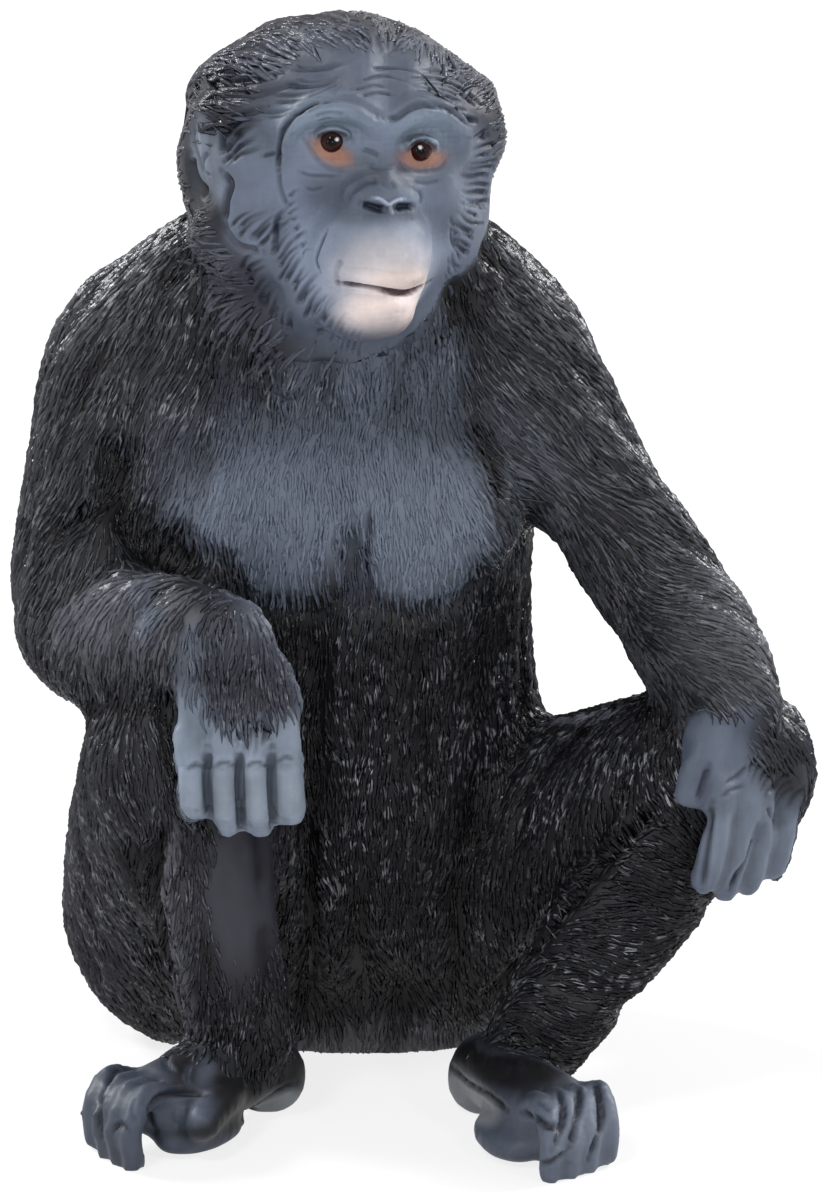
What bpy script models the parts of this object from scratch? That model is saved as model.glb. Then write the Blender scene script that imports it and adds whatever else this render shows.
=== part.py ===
"""Seated bonobo figurine, cast in one piece, 65 mm tall.

Lengths are in millimetres until the last step, which writes metres. +Z is up, the figure faces -Y and
its left side is at +X. The origin is on the ground, under the middle of the figure.

The casting is sculpted as a modeller works in clay: big masses are laid over each other, fused and
smoothed, then the face, hands and feet are laid on, fused again and carved.
"""

from math import cos, pi, radians, sin

import bmesh
import bpy
import numpy as np
from mathutils import Matrix, Vector
from mathutils.kdtree import KDTree

MM = 0.001

# The finished figure's height. The clay is modelled at about this size and scaled to it at the end.
HEIGHT = 65.2

# Clay: how finely the skin is fused, smoothed and reduced
MASS_VOXEL = 0.6
MASS_SMOOTHING = 14
FORM_VOXEL = 0.27
FORM_SMOOTHING = 3
SKIN_TRIANGLES = 12200
SIDES = 16
RINGS_PER_SPAN = 5

# Hair: the grooves that part it into locks, and how far round the nose the face is bare
LOCK_SPACING = 3.1
LOCK_LENGTH = 10.0
LOCK_STEP = 0.5
LOCK_WAVE = 0.25
LOCK_TRIES = 6000
GROOVE_RADIUS = 1.15
GROOVE_DEPTH = 0.42
FACE_RADIUS = 7.0

# Torso: (x, y, z, half width, half depth) of each section from the seat to the neck
SEAT = (-3.0, 14.5, -1.0, 10.5, 6.5)
HIPS = (-3.0, 14.8, 7.0, 12.4, 9.8)
BELLY = (-3.0, 11.6, 16.0, 11.4, 11.2)
WAIST = (-3.3, 9.8, 24.0, 10.7, 10.8)
CHEST = (-3.8, 8.4, 32.5, 11.1, 10.8)
UPPER_CHEST = (-4.2, 7.8, 39.5, 12.2, 9.8)
COLLAR = (-4.4, 7.2, 45.5, 11.4, 8.4)
NAPE = (-4.2, 5.6, 50.5, 8.0, 7.2)

# Head: its place, turn and measures
HEAD_CENTRE = (-3.9, 0.8, 56.2)
HEAD_YAW = 18.0
HEAD_TILT = 6.5
SKULL_WIDTH = 17.4
SKULL_DEPTH = 16.4
SKULL_HEIGHT = 14.0
HAIR_WIDTH = 19.3
EYE_SPACING = 5.3
EYE_HEIGHT = 2.9
EYE_RADIUS = 1.25
BROW_WIDTH = 10.6
BROW_RADIUS = 0.85
MUZZLE_WIDTH = 7.8
MUZZLE_REACH = 9.6
MOUTH_WIDTH = 5.4
MOUTH_HEIGHT = -5.3
NOSE_HEIGHT = -0.3
EAR_HEIGHT = 5.0

# Arms: joint centres, and the radii at shoulder, upper arm, elbow, forearm and wrist
R_SHOULDER = (-14.8, 7.2, 43.3)
R_ELBOW = (-19.1, 1.8, 28.7)
R_WRIST = (-10.7, -6.8, 29.6)
R_ARM_RADII = (6.7, 5.4, 4.5, 4.2, 3.0)
L_SHOULDER = (4.2, 7.4, 43.6)
L_ELBOW = (14.5, 1.6, 31.2)
L_WRIST = (19.0, -5.8, 25.9)
L_ARM_RADII = (6.5, 4.1, 3.8, 3.8, 3.0)

# Legs: joint centres and radii
R_HIP = (-12.5, 12.6, 8.0)
R_KNEE = (-14.0, -2.8, 21.6)
R_ANKLE = (-10.0, -4.4, 5.2)
L_HIP = (4.8, 12.8, 8.8)
L_KNEE = (18.0, -2.6, 21.0)
L_ANKLE = (7.6, -4.6, 5.2)
HIP_RADIUS = 8.8
THIGH_RADIUS = 7.4
KNEE_RADIUS = 5.5
CALF_RADIUS = 4.5
ANKLE_RADIUS = 3.2

# Hands: the palm and the digits
PALM_LENGTH = 5.7
PALM_WIDTH = 7.2
PALM_THICKNESS = 3.0
FINGER_RADIUS = 0.9
FINGER_LENGTH = 6.0
FINGER_SPACING = 1.9
THUMB_RADIUS = 1.15
CLEFT_RADIUS = 0.6
CLEFT_DEPTH = 0.4
WRIST_WIDTH = 5.8

# Feet: from the back of the heel to the root of the toes, and the toes
FOOT_LENGTH = 14.4
FOOT_WIDTH = 5.6
TOE_RADIUS = 0.82
TOE_SPACING = 1.3
TOE_OFFSET = 1.8
TOE_LENGTH = 7.0
BIG_TOE_RADIUS = 1.25
R_HEEL = (-8.2, -1.6)
R_FOOT_TURN = -34.0
L_HEEL = (4.2, -1.9)
L_FOOT_TURN = 16.0


# Thumbs and big toes: (x, y, z, radius) stations; x towards the inner side, radius in thumb or big toe
# radii, and a big toe's z in foot lengths
R_THUMB = [(2.4, -0.8, 1.2, 1.1), (2.9, -2.0, 3.8, 1.0), (2.4, -2.8, 6.0, 0.9)]
L_THUMB = [(2.0, 0.1, 0.8, 1.3), (3.6, -0.2, 3.0, 1.25), (4.2, -0.8, 5.0, 1.1)]
R_BIG_TOE = [(0.6, 2.6, 0.36, 1.1), (2.1, 2.8, 0.58, 0.9), (2.9, 2.4, 0.8, 0.9)]
L_BIG_TOE = [(0.4, 2.8, 0.4, 1.1), (-0.1, 2.3, 0.6, 0.95), (-0.7, 1.5, 0.85, 1.1)]


class Clay:
    """Overlapping closed forms, kept in one bmesh until they are fused into a skin."""

    def __init__(self):
        self.bm = bmesh.new()

    def ball(self, centre, radii, frame=Matrix.Identity(4)):
        """Lays on an ellipsoid."""
        size = Matrix.Diagonal((*radii, 1.0))
        place = frame @ Matrix.Translation(centre) @ size
        bmesh.ops.create_icosphere(self.bm, subdivisions=3, radius=1.0, matrix=place)

    def limb(self, stations, side=(1, 0, 0), frame=Matrix.Identity(4)):
        """Lays on a round-ended loft through stations of (x, y, z, radius) or (x, y, z, width, depth)."""
        rows = [s if len(s) == 5 else (*s, s[3]) for s in stations]
        rows = through(rows, RINGS_PER_SPAN)
        centres = [Vector(row[:3]) for row in rows]
        loops = []
        for i, (*_, width, depth) in enumerate(rows):
            before = centres[max(i - 1, 0)]
            after = centres[min(i + 1, len(rows) - 1)]
            along = (after - before).normalized()
            across = Vector(side)
            across = (across - along * across.dot(along)).normalized()
            up = along.cross(across)
            end = {0: -1, len(rows) - 1: 1}.get(i, 0)
            steps = [0.0] if not end else [radians(22 * k) for k in range(4)]
            if end < 0:
                steps.reverse()
            for step in steps:
                middle = centres[i] + along * end * sin(step) * (width + depth) / 2
                loop = []
                for k in range(SIDES):
                    turn = 2 * pi * k / SIDES
                    offset = across * width * cos(turn) + up * depth * sin(turn)
                    loop.append(self.bm.verts.new(frame @ (middle + offset * cos(step))))
                loops.append(loop)
        for low, high in zip(loops, loops[1:]):
            for k in range(SIDES):
                n = (k + 1) % SIDES
                self.bm.faces.new((low[k], low[n], high[n], high[k]))
        self.bm.faces.new(loops[0][::-1])
        self.bm.faces.new(loops[-1])

    def add(self, mesh):
        """Lays on a mesh that is already fused."""
        self.bm.from_mesh(mesh)

    def fused(self, voxel, smoothing):
        """All the forms fused into one closed skin, with its creases smoothed."""
        bmesh.ops.recalc_face_normals(self.bm, faces=self.bm.faces)
        lump = new_object("clay", self.bm)
        remesh = lump.modifiers.new("fuse", "REMESH")
        remesh.mode = "VOXEL"
        remesh.voxel_size = voxel
        smooth = lump.modifiers.new("soften", "SMOOTH")
        smooth.factor = 0.5
        smooth.iterations = smoothing
        return settled(lump)


def through(rows, per_span):
    """Rows of numbers on a smooth curve through the given rows."""
    rows = [np.array(row, float) for row in rows]
    padded = [2 * rows[0] - rows[1], *rows, 2 * rows[-1] - rows[-2]]
    out = []
    for a, b, c, d in zip(padded, padded[1:], padded[2:], padded[3:]):
        for step in range(per_span):
            t = step / per_span
            square = 2 * a - 5 * b + 4 * c - d
            cube = 3 * b - a - 3 * c + d
            out.append(0.5 * (2 * b + (c - a) * t + square * t**2 + cube * t**3))
    return out + [rows[-1]]


def new_object(name, bm):
    """A scene object from a bmesh, which is freed."""
    mesh = bpy.data.meshes.new(name)
    bm.to_mesh(mesh)
    bm.free()
    obj = bpy.data.objects.new(name, mesh)
    bpy.context.scene.collection.objects.link(obj)
    return obj


def settled(obj):
    """The object's mesh with its modifiers applied. The object is removed."""
    bpy.context.view_layer.update()
    graph = bpy.context.evaluated_depsgraph_get()
    mesh = bpy.data.meshes.new_from_object(obj.evaluated_get(graph))
    bpy.data.objects.remove(obj)
    return mesh


def between(a, b, share):
    """The point that lies a share of the way from a to b."""
    return Vector(a).lerp(Vector(b), share)


def bowed(a, b, share, bow, radius):
    """A station between a and b, moved sideways by bow."""
    return (*(between(a, b, share) + Vector(bow)), radius)


def lay_torso(clay):
    """Seat, belly, chest, shoulders and neck."""
    clay.limb([SEAT, HIPS, BELLY, WAIST, CHEST, UPPER_CHEST, COLLAR, NAPE])
    for side in (-1, 1):
        clay.ball((CHEST[0] + side * 4.8, 1.2, 35.5), (5.6, 3.4, 5.0))
    clay.ball((-4.0, 9.6, 41.5), (11.5, 8.6, 8.0))
    clay.ball((-13.4, 2.8, 32.0), (3.8, 3.6, 5.0))
    clay.limb([(-4.2, 5.4, 43.0, 8.6, 7.0), (-4.0, 3.2, 51.0, 7.6, 6.6)])
    for shoulder in (R_SHOULDER, L_SHOULDER):
        clay.limb([(-4.2, 7.0, 50.4, 5.5), (*between(NAPE[:3], shoulder, 0.5), 6.7), (*shoulder, 6.4)])


def lay_arm(clay, shoulder, elbow, wrist, radii, bow):
    """Upper arm and forearm, from inside the chest to the wrist."""
    inner = Vector(shoulder) + Vector((0.5 * (UPPER_CHEST[0] - shoulder[0]), 0.5, -0.5))
    clay.limb([
        (*inner, radii[0]),
        (*shoulder, radii[0]),
        bowed(shoulder, elbow, 0.5, bow, radii[1]),
        (*elbow, radii[2]),
        bowed(elbow, wrist, 0.5, (0, 0, 0), radii[3]),
        (*wrist, radii[4]),
    ])


def lay_leg(clay, hip, knee, ankle):
    """Thigh, knee and shin."""
    clay.limb([
        (*hip, HIP_RADIUS),
        (*between(hip, knee, 0.5), THIGH_RADIUS),
        (*knee, KNEE_RADIUS),
    ])
    clay.limb([
        (*knee, KNEE_RADIUS - 0.6),
        bowed(knee, ankle, 0.35, (0, 0.5, 0), CALF_RADIUS),
        bowed(knee, ankle, 0.75, (0, 0, 0), ANKLE_RADIUS + 0.3),
        (*ankle, ANKLE_RADIUS),
    ])


def head_frame():
    """From the head's own axes, face towards -Y, to the figure's."""
    turn = Matrix.Rotation(radians(HEAD_YAW), 4, "Z")
    tilt = Matrix.Rotation(radians(HEAD_TILT), 4, "Y")
    return Matrix.Translation(HEAD_CENTRE) @ turn @ tilt


def lay_skull(clay, frame):
    """Skull, jaw and the hair at the sides of the head."""
    hair = HAIR_WIDTH / 2
    clay.ball((0, 1.6, 2.2), (SKULL_WIDTH / 2, SKULL_DEPTH / 2, SKULL_HEIGHT / 2), frame)
    clay.ball((0, -1.4, -3.8), (6.4, 5.8, 4.2), frame)
    clay.ball((0, -2.6, -6.8), (4.6, 3.8, 2.4), frame)
    clay.ball((0, -0.8, 4.6), (6.6, 5.5, 4.4), frame)
    for side in (-1, 1):
        clay.ball((side * (hair - 3.4), 0.9, 2.7), (3.4, 5.2, 4.2), frame)
        clay.ball((side * (hair - 3.8), 0.6, -2.2), (3.4, 4.6, 5.0), frame)
        clay.ball((side * (hair - 4.2), -1.8, -1.4), (2.6, 3.0, 4.4), frame)


def lay_face(clay, frame):
    """Face plate, brow, cheeks, nose, muzzle, lips and ears."""
    reach = MUZZLE_REACH
    half = MUZZLE_WIDTH / 2
    brow = BROW_WIDTH / 2
    eye = EYE_SPACING / 2
    level = EYE_HEIGHT
    clay.ball((0, -1.5, 0.9), (6.6, 5.3, 6.6), frame)
    ridge = [
        (-brow * 1.04, -4.0, level - 1.6, BROW_RADIUS * 0.7),
        (-brow * 1.0, -4.7, level + 0.3, BROW_RADIUS * 0.9),
        (-brow * 0.78, -5.4, level + 1.6, BROW_RADIUS),
        (-brow * 0.45, -5.9, level + 2.0, BROW_RADIUS),
        (-brow * 0.18, -6.2, level + 1.4, BROW_RADIUS),
    ]
    mirrored = [(-x, y, z, r) for x, y, z, r in reversed(ridge)]
    clay.limb([*ridge, (0, -6.2, level + 1.0, BROW_RADIUS * 0.9), *mirrored], (0, 0, 1), frame)
    clay.limb([
        (0, -5.8, level + 0.8, 0.8),
        (0, -6.2, level - 1.0, 0.8),
        (0, -7.0, NOSE_HEIGHT + 0.7, 1.1),
    ], (1, 0, 0), frame)
    clay.ball((0, -6.9, NOSE_HEIGHT + 0.3), (2.5, 1.4, 1.2), frame)
    clay.ball((0, -reach + 4.8, MOUTH_HEIGHT + 1.5), (half, 4.6, 4.9), frame)
    clay.ball((0, -reach + 3.4, MOUTH_HEIGHT + 2.3), (half * 0.93, 3.3, 2.9), frame)
    clay.ball((0, -reach + 3.9, MOUTH_HEIGHT - 1.2), (half * 0.8, 3.6, 2.3), frame)
    for side in (-1, 1):
        clay.ball((side * eye, -5.2, level), (EYE_RADIUS, EYE_RADIUS, EYE_RADIUS), frame)
        clay.ball((side * 3.9, -3.5, -0.4), (2.6, 2.5, 2.9), frame)
        clay.ball((side * 1.0, -7.7, NOSE_HEIGHT), (0.95, 0.8, 0.65), frame)
        clay.ball((side * (HAIR_WIDTH / 2 - 1.0), 1.6, 0.2), (0.9, 1.9, EAR_HEIGHT / 2), frame)


def digit(clay, frame, root, turns, lengths, radius):
    """Lays on a finger or toe whose joints bend by turns, in degrees, towards the palm or sole.

    Returns the points along its back.
    """
    point = Vector(root)
    heading = 0.0
    stations = [(*point, radius * 1.05)]
    back = [point + Vector((0, radius, 0))]
    for turn, length in zip(turns, lengths):
        heading += radians(turn)
        point = point + Vector((0, -sin(heading), cos(heading))) * length
        stations.append((*point, radius))
        back.append(point + Vector((0, cos(heading), sin(heading))) * radius)
    clay.limb(stations, (1, 0, 0), frame)
    return back


def clefts(backs, frame):
    """The lines between neighbouring digits, from the points along their backs."""
    return [
        [frame @ ((one + other) / 2) for one, other in zip(left, right)]
        for left, right in zip(backs, backs[1:])
    ]


def lay_hand(clay, frame, curl, thumb_side, thumb):
    """A hand whose own axes are x across, y out of its back and z towards the fingertips.

    Returns the clefts between its fingers.
    """
    half = PALM_WIDTH / 2
    deep = PALM_THICKNESS / 2
    clay.limb([
        (0, 0, -0.6, WRIST_WIDTH / 2, deep * 1.3),
        (0, 0, PALM_LENGTH * 0.5, half * 0.92, deep * 1.05),
        (0, 0, PALM_LENGTH - 0.6, half * 0.96, deep * 0.8),
    ], (1, 0, 0), frame)
    backs = []
    for k in range(4):
        length = FINGER_LENGTH * (0.86, 1.0, 1.04, 0.94)[k if thumb_side > 0 else 3 - k]
        root = ((k - 1.5) * FINGER_SPACING, 0.15, PALM_LENGTH - 0.8)
        parts = (length * 0.46, length * 0.32, length * 0.22)
        backs.append(digit(clay, frame, root, curl, parts, FINGER_RADIUS))
    clay.limb([(thumb_side * x, y, z, THUMB_RADIUS * r) for x, y, z, r in thumb], (0, 1, 0), frame)
    return clefts(backs, frame)


def lay_foot(clay, heel, turn, inner, big_toe):
    """A foot on the ground. inner is +1 where the big toe lies at the foot's own +x side.

    Returns the clefts between its toes.
    """
    frame = (
        Matrix.Translation((heel[0], heel[1], 0))
        @ Matrix.Rotation(radians(turn), 4, "Z")
        @ Matrix(((1, 0, 0, 0), (0, 0, -1, 0), (0, 1, 0, 0), (0, 0, 0, 1)))
    )
    half = FOOT_WIDTH / 2
    clay.ball((0, 1.9, 0.6), (2.3, 2.4, 2.4), frame)
    clay.limb([
        (0, 2.6, 0.8, 2.1, 2.2),
        (-inner * 0.4, 3.1, FOOT_LENGTH * 0.3, half * 0.9, 2.6),
        (-inner * 0.8, 2.9, FOOT_LENGTH * 0.55, half * 0.95, 2.3),
        (-inner * TOE_OFFSET * 0.8, 2.7, FOOT_LENGTH * 0.75, half, 1.8),
    ], (1, 0, 0), frame)
    clay.ball((inner * 0.9, 1.0, FOOT_LENGTH * 0.62), (2.1, 1.2, 3.8), frame)
    backs = []
    for k in range(4):
        length = TOE_LENGTH * (1.0, 1.0, 0.94, 0.84)[k]
        root = (-inner * (TOE_OFFSET + (k - 1.5) * TOE_SPACING), 3.3, FOOT_LENGTH * 0.74 - 0.4 * k)
        parts = (length * 0.36, length * 0.34, length * 0.34)
        backs.append(digit(clay, frame, root, (-18, 58, 56), parts, TOE_RADIUS))
    toe = [(inner * x, y, FOOT_LENGTH * z, BIG_TOE_RADIUS * r) for x, y, z, r in big_toe]
    clay.limb(toe, (0, 1, 0), frame)
    return clefts(backs, frame)


def aligned(origin, back, fingers):
    """A hand's frame from its wrist, the way its back faces and the way its fingers point."""
    z = Vector(fingers).normalized()
    y = Vector(back)
    y = (y - z * y.dot(z)).normalized()
    x = y.cross(z)
    rows = [(x[i], y[i], z[i], origin[i]) for i in range(3)]
    return Matrix((*rows, (0, 0, 0, 1)))


def carve(mesh, line, radius, depth):
    """Presses a groove of the given depth into the skin along a line of points."""
    co = np.empty(len(mesh.vertices) * 3)
    mesh.vertices.foreach_get("co", co)
    co = co.reshape(-1, 3)
    normals = np.empty(len(mesh.vertices) * 3)
    mesh.vertex_normals.foreach_get("vector", normals)
    normals = normals.reshape(-1, 3)
    points = np.array(line)
    nearest = np.full(len(co), np.inf)
    for start, end in zip(points, points[1:]):
        span = end - start
        share = np.clip((co - start) @ span / (span @ span), 0.0, 1.0)
        nearest = np.minimum(nearest, np.linalg.norm(co - start - share[:, None] * span, axis=1))
    push = depth * np.clip(1.0 - (nearest / radius) ** 2, 0.0, 1.0) ** 2
    co -= normals * push[:, None]
    mesh.vertices.foreach_set("co", co.ravel())
    mesh.update()


def carve_face(mesh, frame):
    """The mouth, the nostrils and the edges of the eye sockets."""
    mouth = MOUTH_WIDTH / 2
    eye = EYE_SPACING / 2
    level = EYE_HEIGHT
    front = -MUZZLE_REACH
    lines = [([
        (-mouth, front + 2.2, MOUTH_HEIGHT + 0.25),
        (-mouth * 0.5, front + 0.6, MOUTH_HEIGHT),
        (0, front + 0.2, MOUTH_HEIGHT - 0.1),
        (mouth * 0.5, front + 0.6, MOUTH_HEIGHT),
        (mouth, front + 2.2, MOUTH_HEIGHT + 0.25),
    ], 0.75, 0.5)]
    for side in (-1, 1):
        lines.append(([
            (side * (eye - 1.5), -6.2, level + 0.1),
            (side * (eye - 0.7), -6.3, level + 0.95),
            (side * (eye + 0.7), -6.1, level + 1.0),
            (side * (eye + 1.7), -5.5, level + 0.1),
        ], 0.8, 0.35))
        lines.append(([
            (side * (eye - 1.3), -6.3, level - 0.9),
            (side * eye, -6.3, level - 1.5),
            (side * (eye + 1.4), -5.8, level - 1.0),
        ], 0.7, 0.25))
        lines.append(([
            (side * 0.8, -8.5, NOSE_HEIGHT - 0.35),
            (side * 1.2, -8.3, NOSE_HEIGHT - 0.1),
        ], 0.55, 0.5))
    for line, radius, depth in lines:
        carve(mesh, [frame @ Vector(point) for point in line], radius, depth)


def coat():
    """Stretches of the body: two ends, a radius and the way the hair lies, None where it is bare."""
    shin = (KNEE_RADIUS + ANKLE_RADIUS) / 2
    right_toes = Matrix.Rotation(radians(R_FOOT_TURN), 3, "Z") @ Vector((0, -FOOT_LENGTH, 0))
    left_toes = Matrix.Rotation(radians(L_FOOT_TURN), 3, "Z") @ Vector((0, -FOOT_LENGTH, 0))
    right_heel = Vector((*R_HEEL, FOOT_WIDTH / 2))
    left_heel = Vector((*L_HEEL, FOOT_WIDTH / 2))
    fingers = PALM_LENGTH + FINGER_LENGTH
    reach = Vector((0.1, -0.3, -1)) * fingers
    return [
        (HEAD_CENTRE, HEAD_CENTRE, SKULL_WIDTH / 2, (0, 0, -0.6)),
        (HIPS[:3], UPPER_CHEST[:3], HIPS[3], (0, 0, -1)),
        (R_SHOULDER, R_ELBOW, R_ARM_RADII[1], (-0.4, 0, -1)),
        (R_ELBOW, R_WRIST, R_ARM_RADII[3], (-0.3, 0, -1)),
        (R_WRIST, Vector(R_WRIST) + reach, PALM_WIDTH / 2, None),
        (L_SHOULDER, L_ELBOW, L_ARM_RADII[1], (0.8, 0, -0.75)),
        (L_ELBOW, L_WRIST, L_ARM_RADII[3], (1, 0, -0.4)),
        (L_WRIST, Vector(L_WRIST) + reach, PALM_WIDTH / 2, None),
        (R_HIP, R_KNEE, THIGH_RADIUS, (0.1, 0, -1)),
        (R_KNEE, R_ANKLE, shin, (-0.2, 0, -1)),
        (L_HIP, L_KNEE, THIGH_RADIUS, (-0.15, 0, -1)),
        (L_KNEE, L_ANKLE, shin, (0.9, 0, -0.6)),
        (right_heel, right_heel + right_toes, FOOT_WIDTH / 2, None),
        (left_heel, left_heel + left_toes, FOOT_WIDTH / 2, None),
    ]


def combed(points, frame):
    """The way the hair lies at each point, away from the face on the head, and whether there is any."""
    gaps = []
    ways = []
    for start, end, radius, way in coat():
        start = np.array(start)
        span = np.array(end) - start
        share = np.clip((points - start) @ span / max(span @ span, 1e-6), 0.0, 1.0)
        gaps.append(np.linalg.norm(points - start - share[:, None] * span, axis=1) - radius)
        ways.append((0.0, 0.0, 0.0) if way is None else way)
    owner = np.argmin(gaps, axis=0)
    flow = np.array(ways)[owner]
    nose = np.array(frame @ Vector((0, -SKULL_DEPTH / 2, -1.0)))
    away = points - nose
    distance = np.linalg.norm(away, axis=1)
    head = owner == 0
    flow[head] += away[head] / distance[head][:, None]
    hairy = (np.abs(flow).sum(axis=1) > 0) & (distance > FACE_RADIUS)
    return flow, hairy & (points[:, 2] > GROOVE_RADIUS)


def part_hair(mesh, frame):
    """Carves wavy grooves that run with the hair and part it into locks, an even way apart."""
    co = np.empty(len(mesh.vertices) * 3)
    mesh.vertices.foreach_get("co", co)
    co = co.reshape(-1, 3)
    normals = np.empty(len(mesh.vertices) * 3)
    mesh.vertex_normals.foreach_get("vector", normals)
    normals = normals.reshape(-1, 3)
    flow, hairy = combed(co, frame)
    flow -= normals * (flow * normals).sum(axis=1)[:, None]
    flow /= np.maximum(np.linalg.norm(flow, axis=1), 1e-6)[:, None]
    across = np.cross(normals, flow)
    tree = KDTree(len(co))
    for index, point in enumerate(co):
        tree.insert(point, index)
    tree.balance()
    starts = np.random.RandomState(5).permutation(np.nonzero(hairy)[0])[:LOCK_TRIES]
    carved = np.empty((0, 3))
    for number, start in enumerate(starts):
        line = []
        index = start
        travelled = 0.0
        while travelled < LOCK_LENGTH and hairy[index]:
            here = co[index]
            if len(carved) and np.min(((carved - here) ** 2).sum(axis=1)) < LOCK_SPACING ** 2:
                break
            line.append(here)
            lean = LOCK_WAVE * sin(number + 2 * pi * travelled / LOCK_LENGTH)
            ahead = here + LOCK_STEP * (flow[index] + lean * across[index])
            index = tree.find(ahead)[1]
            travelled += LOCK_STEP
        if travelled > LOCK_LENGTH / 3:
            carved = np.vstack((carved, line))
    grooves = KDTree(len(carved))
    for index, point in enumerate(carved):
        grooves.insert(point, index)
    grooves.balance()
    gap = np.array([grooves.find(point)[2] for point in co])
    push = GROOVE_DEPTH * np.clip(1.0 - (gap / GROOVE_RADIUS) ** 2, 0.0, 1.0)
    co -= normals * push[:, None]
    mesh.vertices.foreach_set("co", co.ravel())
    mesh.update()


def sculpt():
    """The whole figure in clay, as one mesh in millimetres."""
    masses = Clay()
    head = head_frame()
    lay_torso(masses)
    lay_skull(masses, head)
    lay_arm(masses, R_SHOULDER, R_ELBOW, R_WRIST, R_ARM_RADII, (-0.7, 0.4, 0))
    lay_arm(masses, L_SHOULDER, L_ELBOW, L_WRIST, L_ARM_RADII, (0.5, 0, 0.1))
    lay_leg(masses, R_HIP, R_KNEE, R_ANKLE)
    lay_leg(masses, L_HIP, L_KNEE, L_ANKLE)

    forms = Clay()
    forms.add(masses.fused(MASS_VOXEL, MASS_SMOOTHING))
    lay_face(forms, head)
    right_hand = aligned(R_WRIST, (0.05, -1, 0.1), (0.1, -0.3, -1))
    left_hand = aligned(L_WRIST, (0.7, -0.68, 0.2), (0.16, -0.36, -0.93))
    forms.ball((-11.4, -6.0, 26.4), (2.6, 2.0, 2.4))
    forms.ball((21.2, -3.6, 21.4), (2.6, 3.8, 4.0))
    grooves = [
        *lay_hand(forms, right_hand, (4, 12, 40), 1, R_THUMB),
        *lay_hand(forms, left_hand, (18, 10, 8), -1, L_THUMB),
        *lay_foot(forms, R_HEEL, R_FOOT_TURN, 1, R_BIG_TOE),
        *lay_foot(forms, L_HEEL, L_FOOT_TURN, -1, L_BIG_TOE),
    ]
    mesh = forms.fused(FORM_VOXEL, FORM_SMOOTHING)
    carve_face(mesh, head)
    for groove in grooves:
        carve(mesh, groove, CLEFT_RADIUS, CLEFT_DEPTH)
    part_hair(mesh, head)
    return mesh


def stand_on_ground(figure):
    """Cuts the seat and the soles flat at the ground."""
    bm = bmesh.new()
    slab = Matrix.Translation((0, 0, -10)) @ Matrix.Diagonal((120, 120, 20, 1))
    bmesh.ops.create_cube(bm, size=1, matrix=slab)
    ground = new_object("ground_cutter", bm)
    ground.hide_render = True
    ground.display_type = "WIRE"
    cut = figure.modifiers.new("stand", "BOOLEAN")
    cut.operation = "DIFFERENCE"
    cut.object = ground
    return ground


def bounds(mesh):
    """The lowest and highest corners of a mesh."""
    corners = np.array([v.co for v in mesh.vertices])
    return corners.min(axis=0), corners.max(axis=0)


def paint(obj):
    """The black of the cast figure."""
    material = bpy.data.materials.new("figure_black")
    material.use_nodes = True
    shader = material.node_tree.nodes["Principled BSDF"]
    shader.inputs["Base Color"].default_value = (0.02, 0.021, 0.026, 1)
    shader.inputs["Roughness"].default_value = 0.45
    shader.inputs["Metallic"].default_value = 0.0
    obj.data.materials.append(material)


def main():
    """Builds the figure as the one object bonobo."""
    for obj in list(bpy.data.objects):
        bpy.data.objects.remove(obj)
    figure = bpy.data.objects.new("bonobo", sculpt())
    bpy.context.scene.collection.objects.link(figure)
    reduce = figure.modifiers.new("reduce", "DECIMATE")
    reduce.ratio = min(1.0, SKIN_TRIANGLES / (2 * len(figure.data.polygons)))
    ground = stand_on_ground(figure)
    low, high = bounds(figure.data)
    middle = Matrix.Translation((-(low[0] + high[0]) / 2, -(low[1] + high[1]) / 2, 0))
    place = Matrix.Scale(MM * HEIGHT / high[2], 4) @ middle
    figure.data.transform(place)
    ground.data.transform(place)
    paint(figure)
    figure.data.shade_smooth()


main()
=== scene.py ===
"""Bonobo figurine: modelled skin, combed fur, paint, glossy eyes and a plain studio."""

import logging
import math
from dataclasses import dataclass, field
from enum import IntEnum

import bpy
import bmesh
import numpy as np
from mathutils import Matrix, Vector, noise
from mathutils.bvhtree import BVHTree


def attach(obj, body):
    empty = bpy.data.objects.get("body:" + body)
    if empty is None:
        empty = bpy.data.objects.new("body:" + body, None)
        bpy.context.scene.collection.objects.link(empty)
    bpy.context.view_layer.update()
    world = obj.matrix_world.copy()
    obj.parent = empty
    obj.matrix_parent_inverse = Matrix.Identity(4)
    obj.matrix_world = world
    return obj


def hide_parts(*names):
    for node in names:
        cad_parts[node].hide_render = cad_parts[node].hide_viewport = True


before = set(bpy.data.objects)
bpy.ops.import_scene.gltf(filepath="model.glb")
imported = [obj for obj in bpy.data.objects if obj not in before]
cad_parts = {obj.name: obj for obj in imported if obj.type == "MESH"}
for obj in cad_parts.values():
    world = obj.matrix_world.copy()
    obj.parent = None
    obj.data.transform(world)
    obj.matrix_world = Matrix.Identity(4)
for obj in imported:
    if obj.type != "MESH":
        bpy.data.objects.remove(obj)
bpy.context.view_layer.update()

LOG = logging.getLogger("bonobo")
NODE = "bonobo"
BODY = "root"
MM = 0.001
TINY = 1e-9

# Where the clay model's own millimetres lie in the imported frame.
CLAY_SHIFT = (-0.016, -3.59, 0.0)
CLAY_SCALE = 0.99918

Colour = tuple[float, float, float]
Pixel = tuple[float, float]
Span = tuple[float, float]
Point = tuple[float, float, float]
Socket = bpy.types.NodeSocket

BLACK: Colour = (14, 14, 18)
# Near black for the deepest crevices: painted shade.
CREVICE_SHADE: Colour = (8, 8, 11)
INK_LINE: Colour = (30, 33, 42)
SOFT_LINE: Colour = (60, 67, 82)
WHITE = (1.0, 1.0, 1.0, 1.0)


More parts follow.
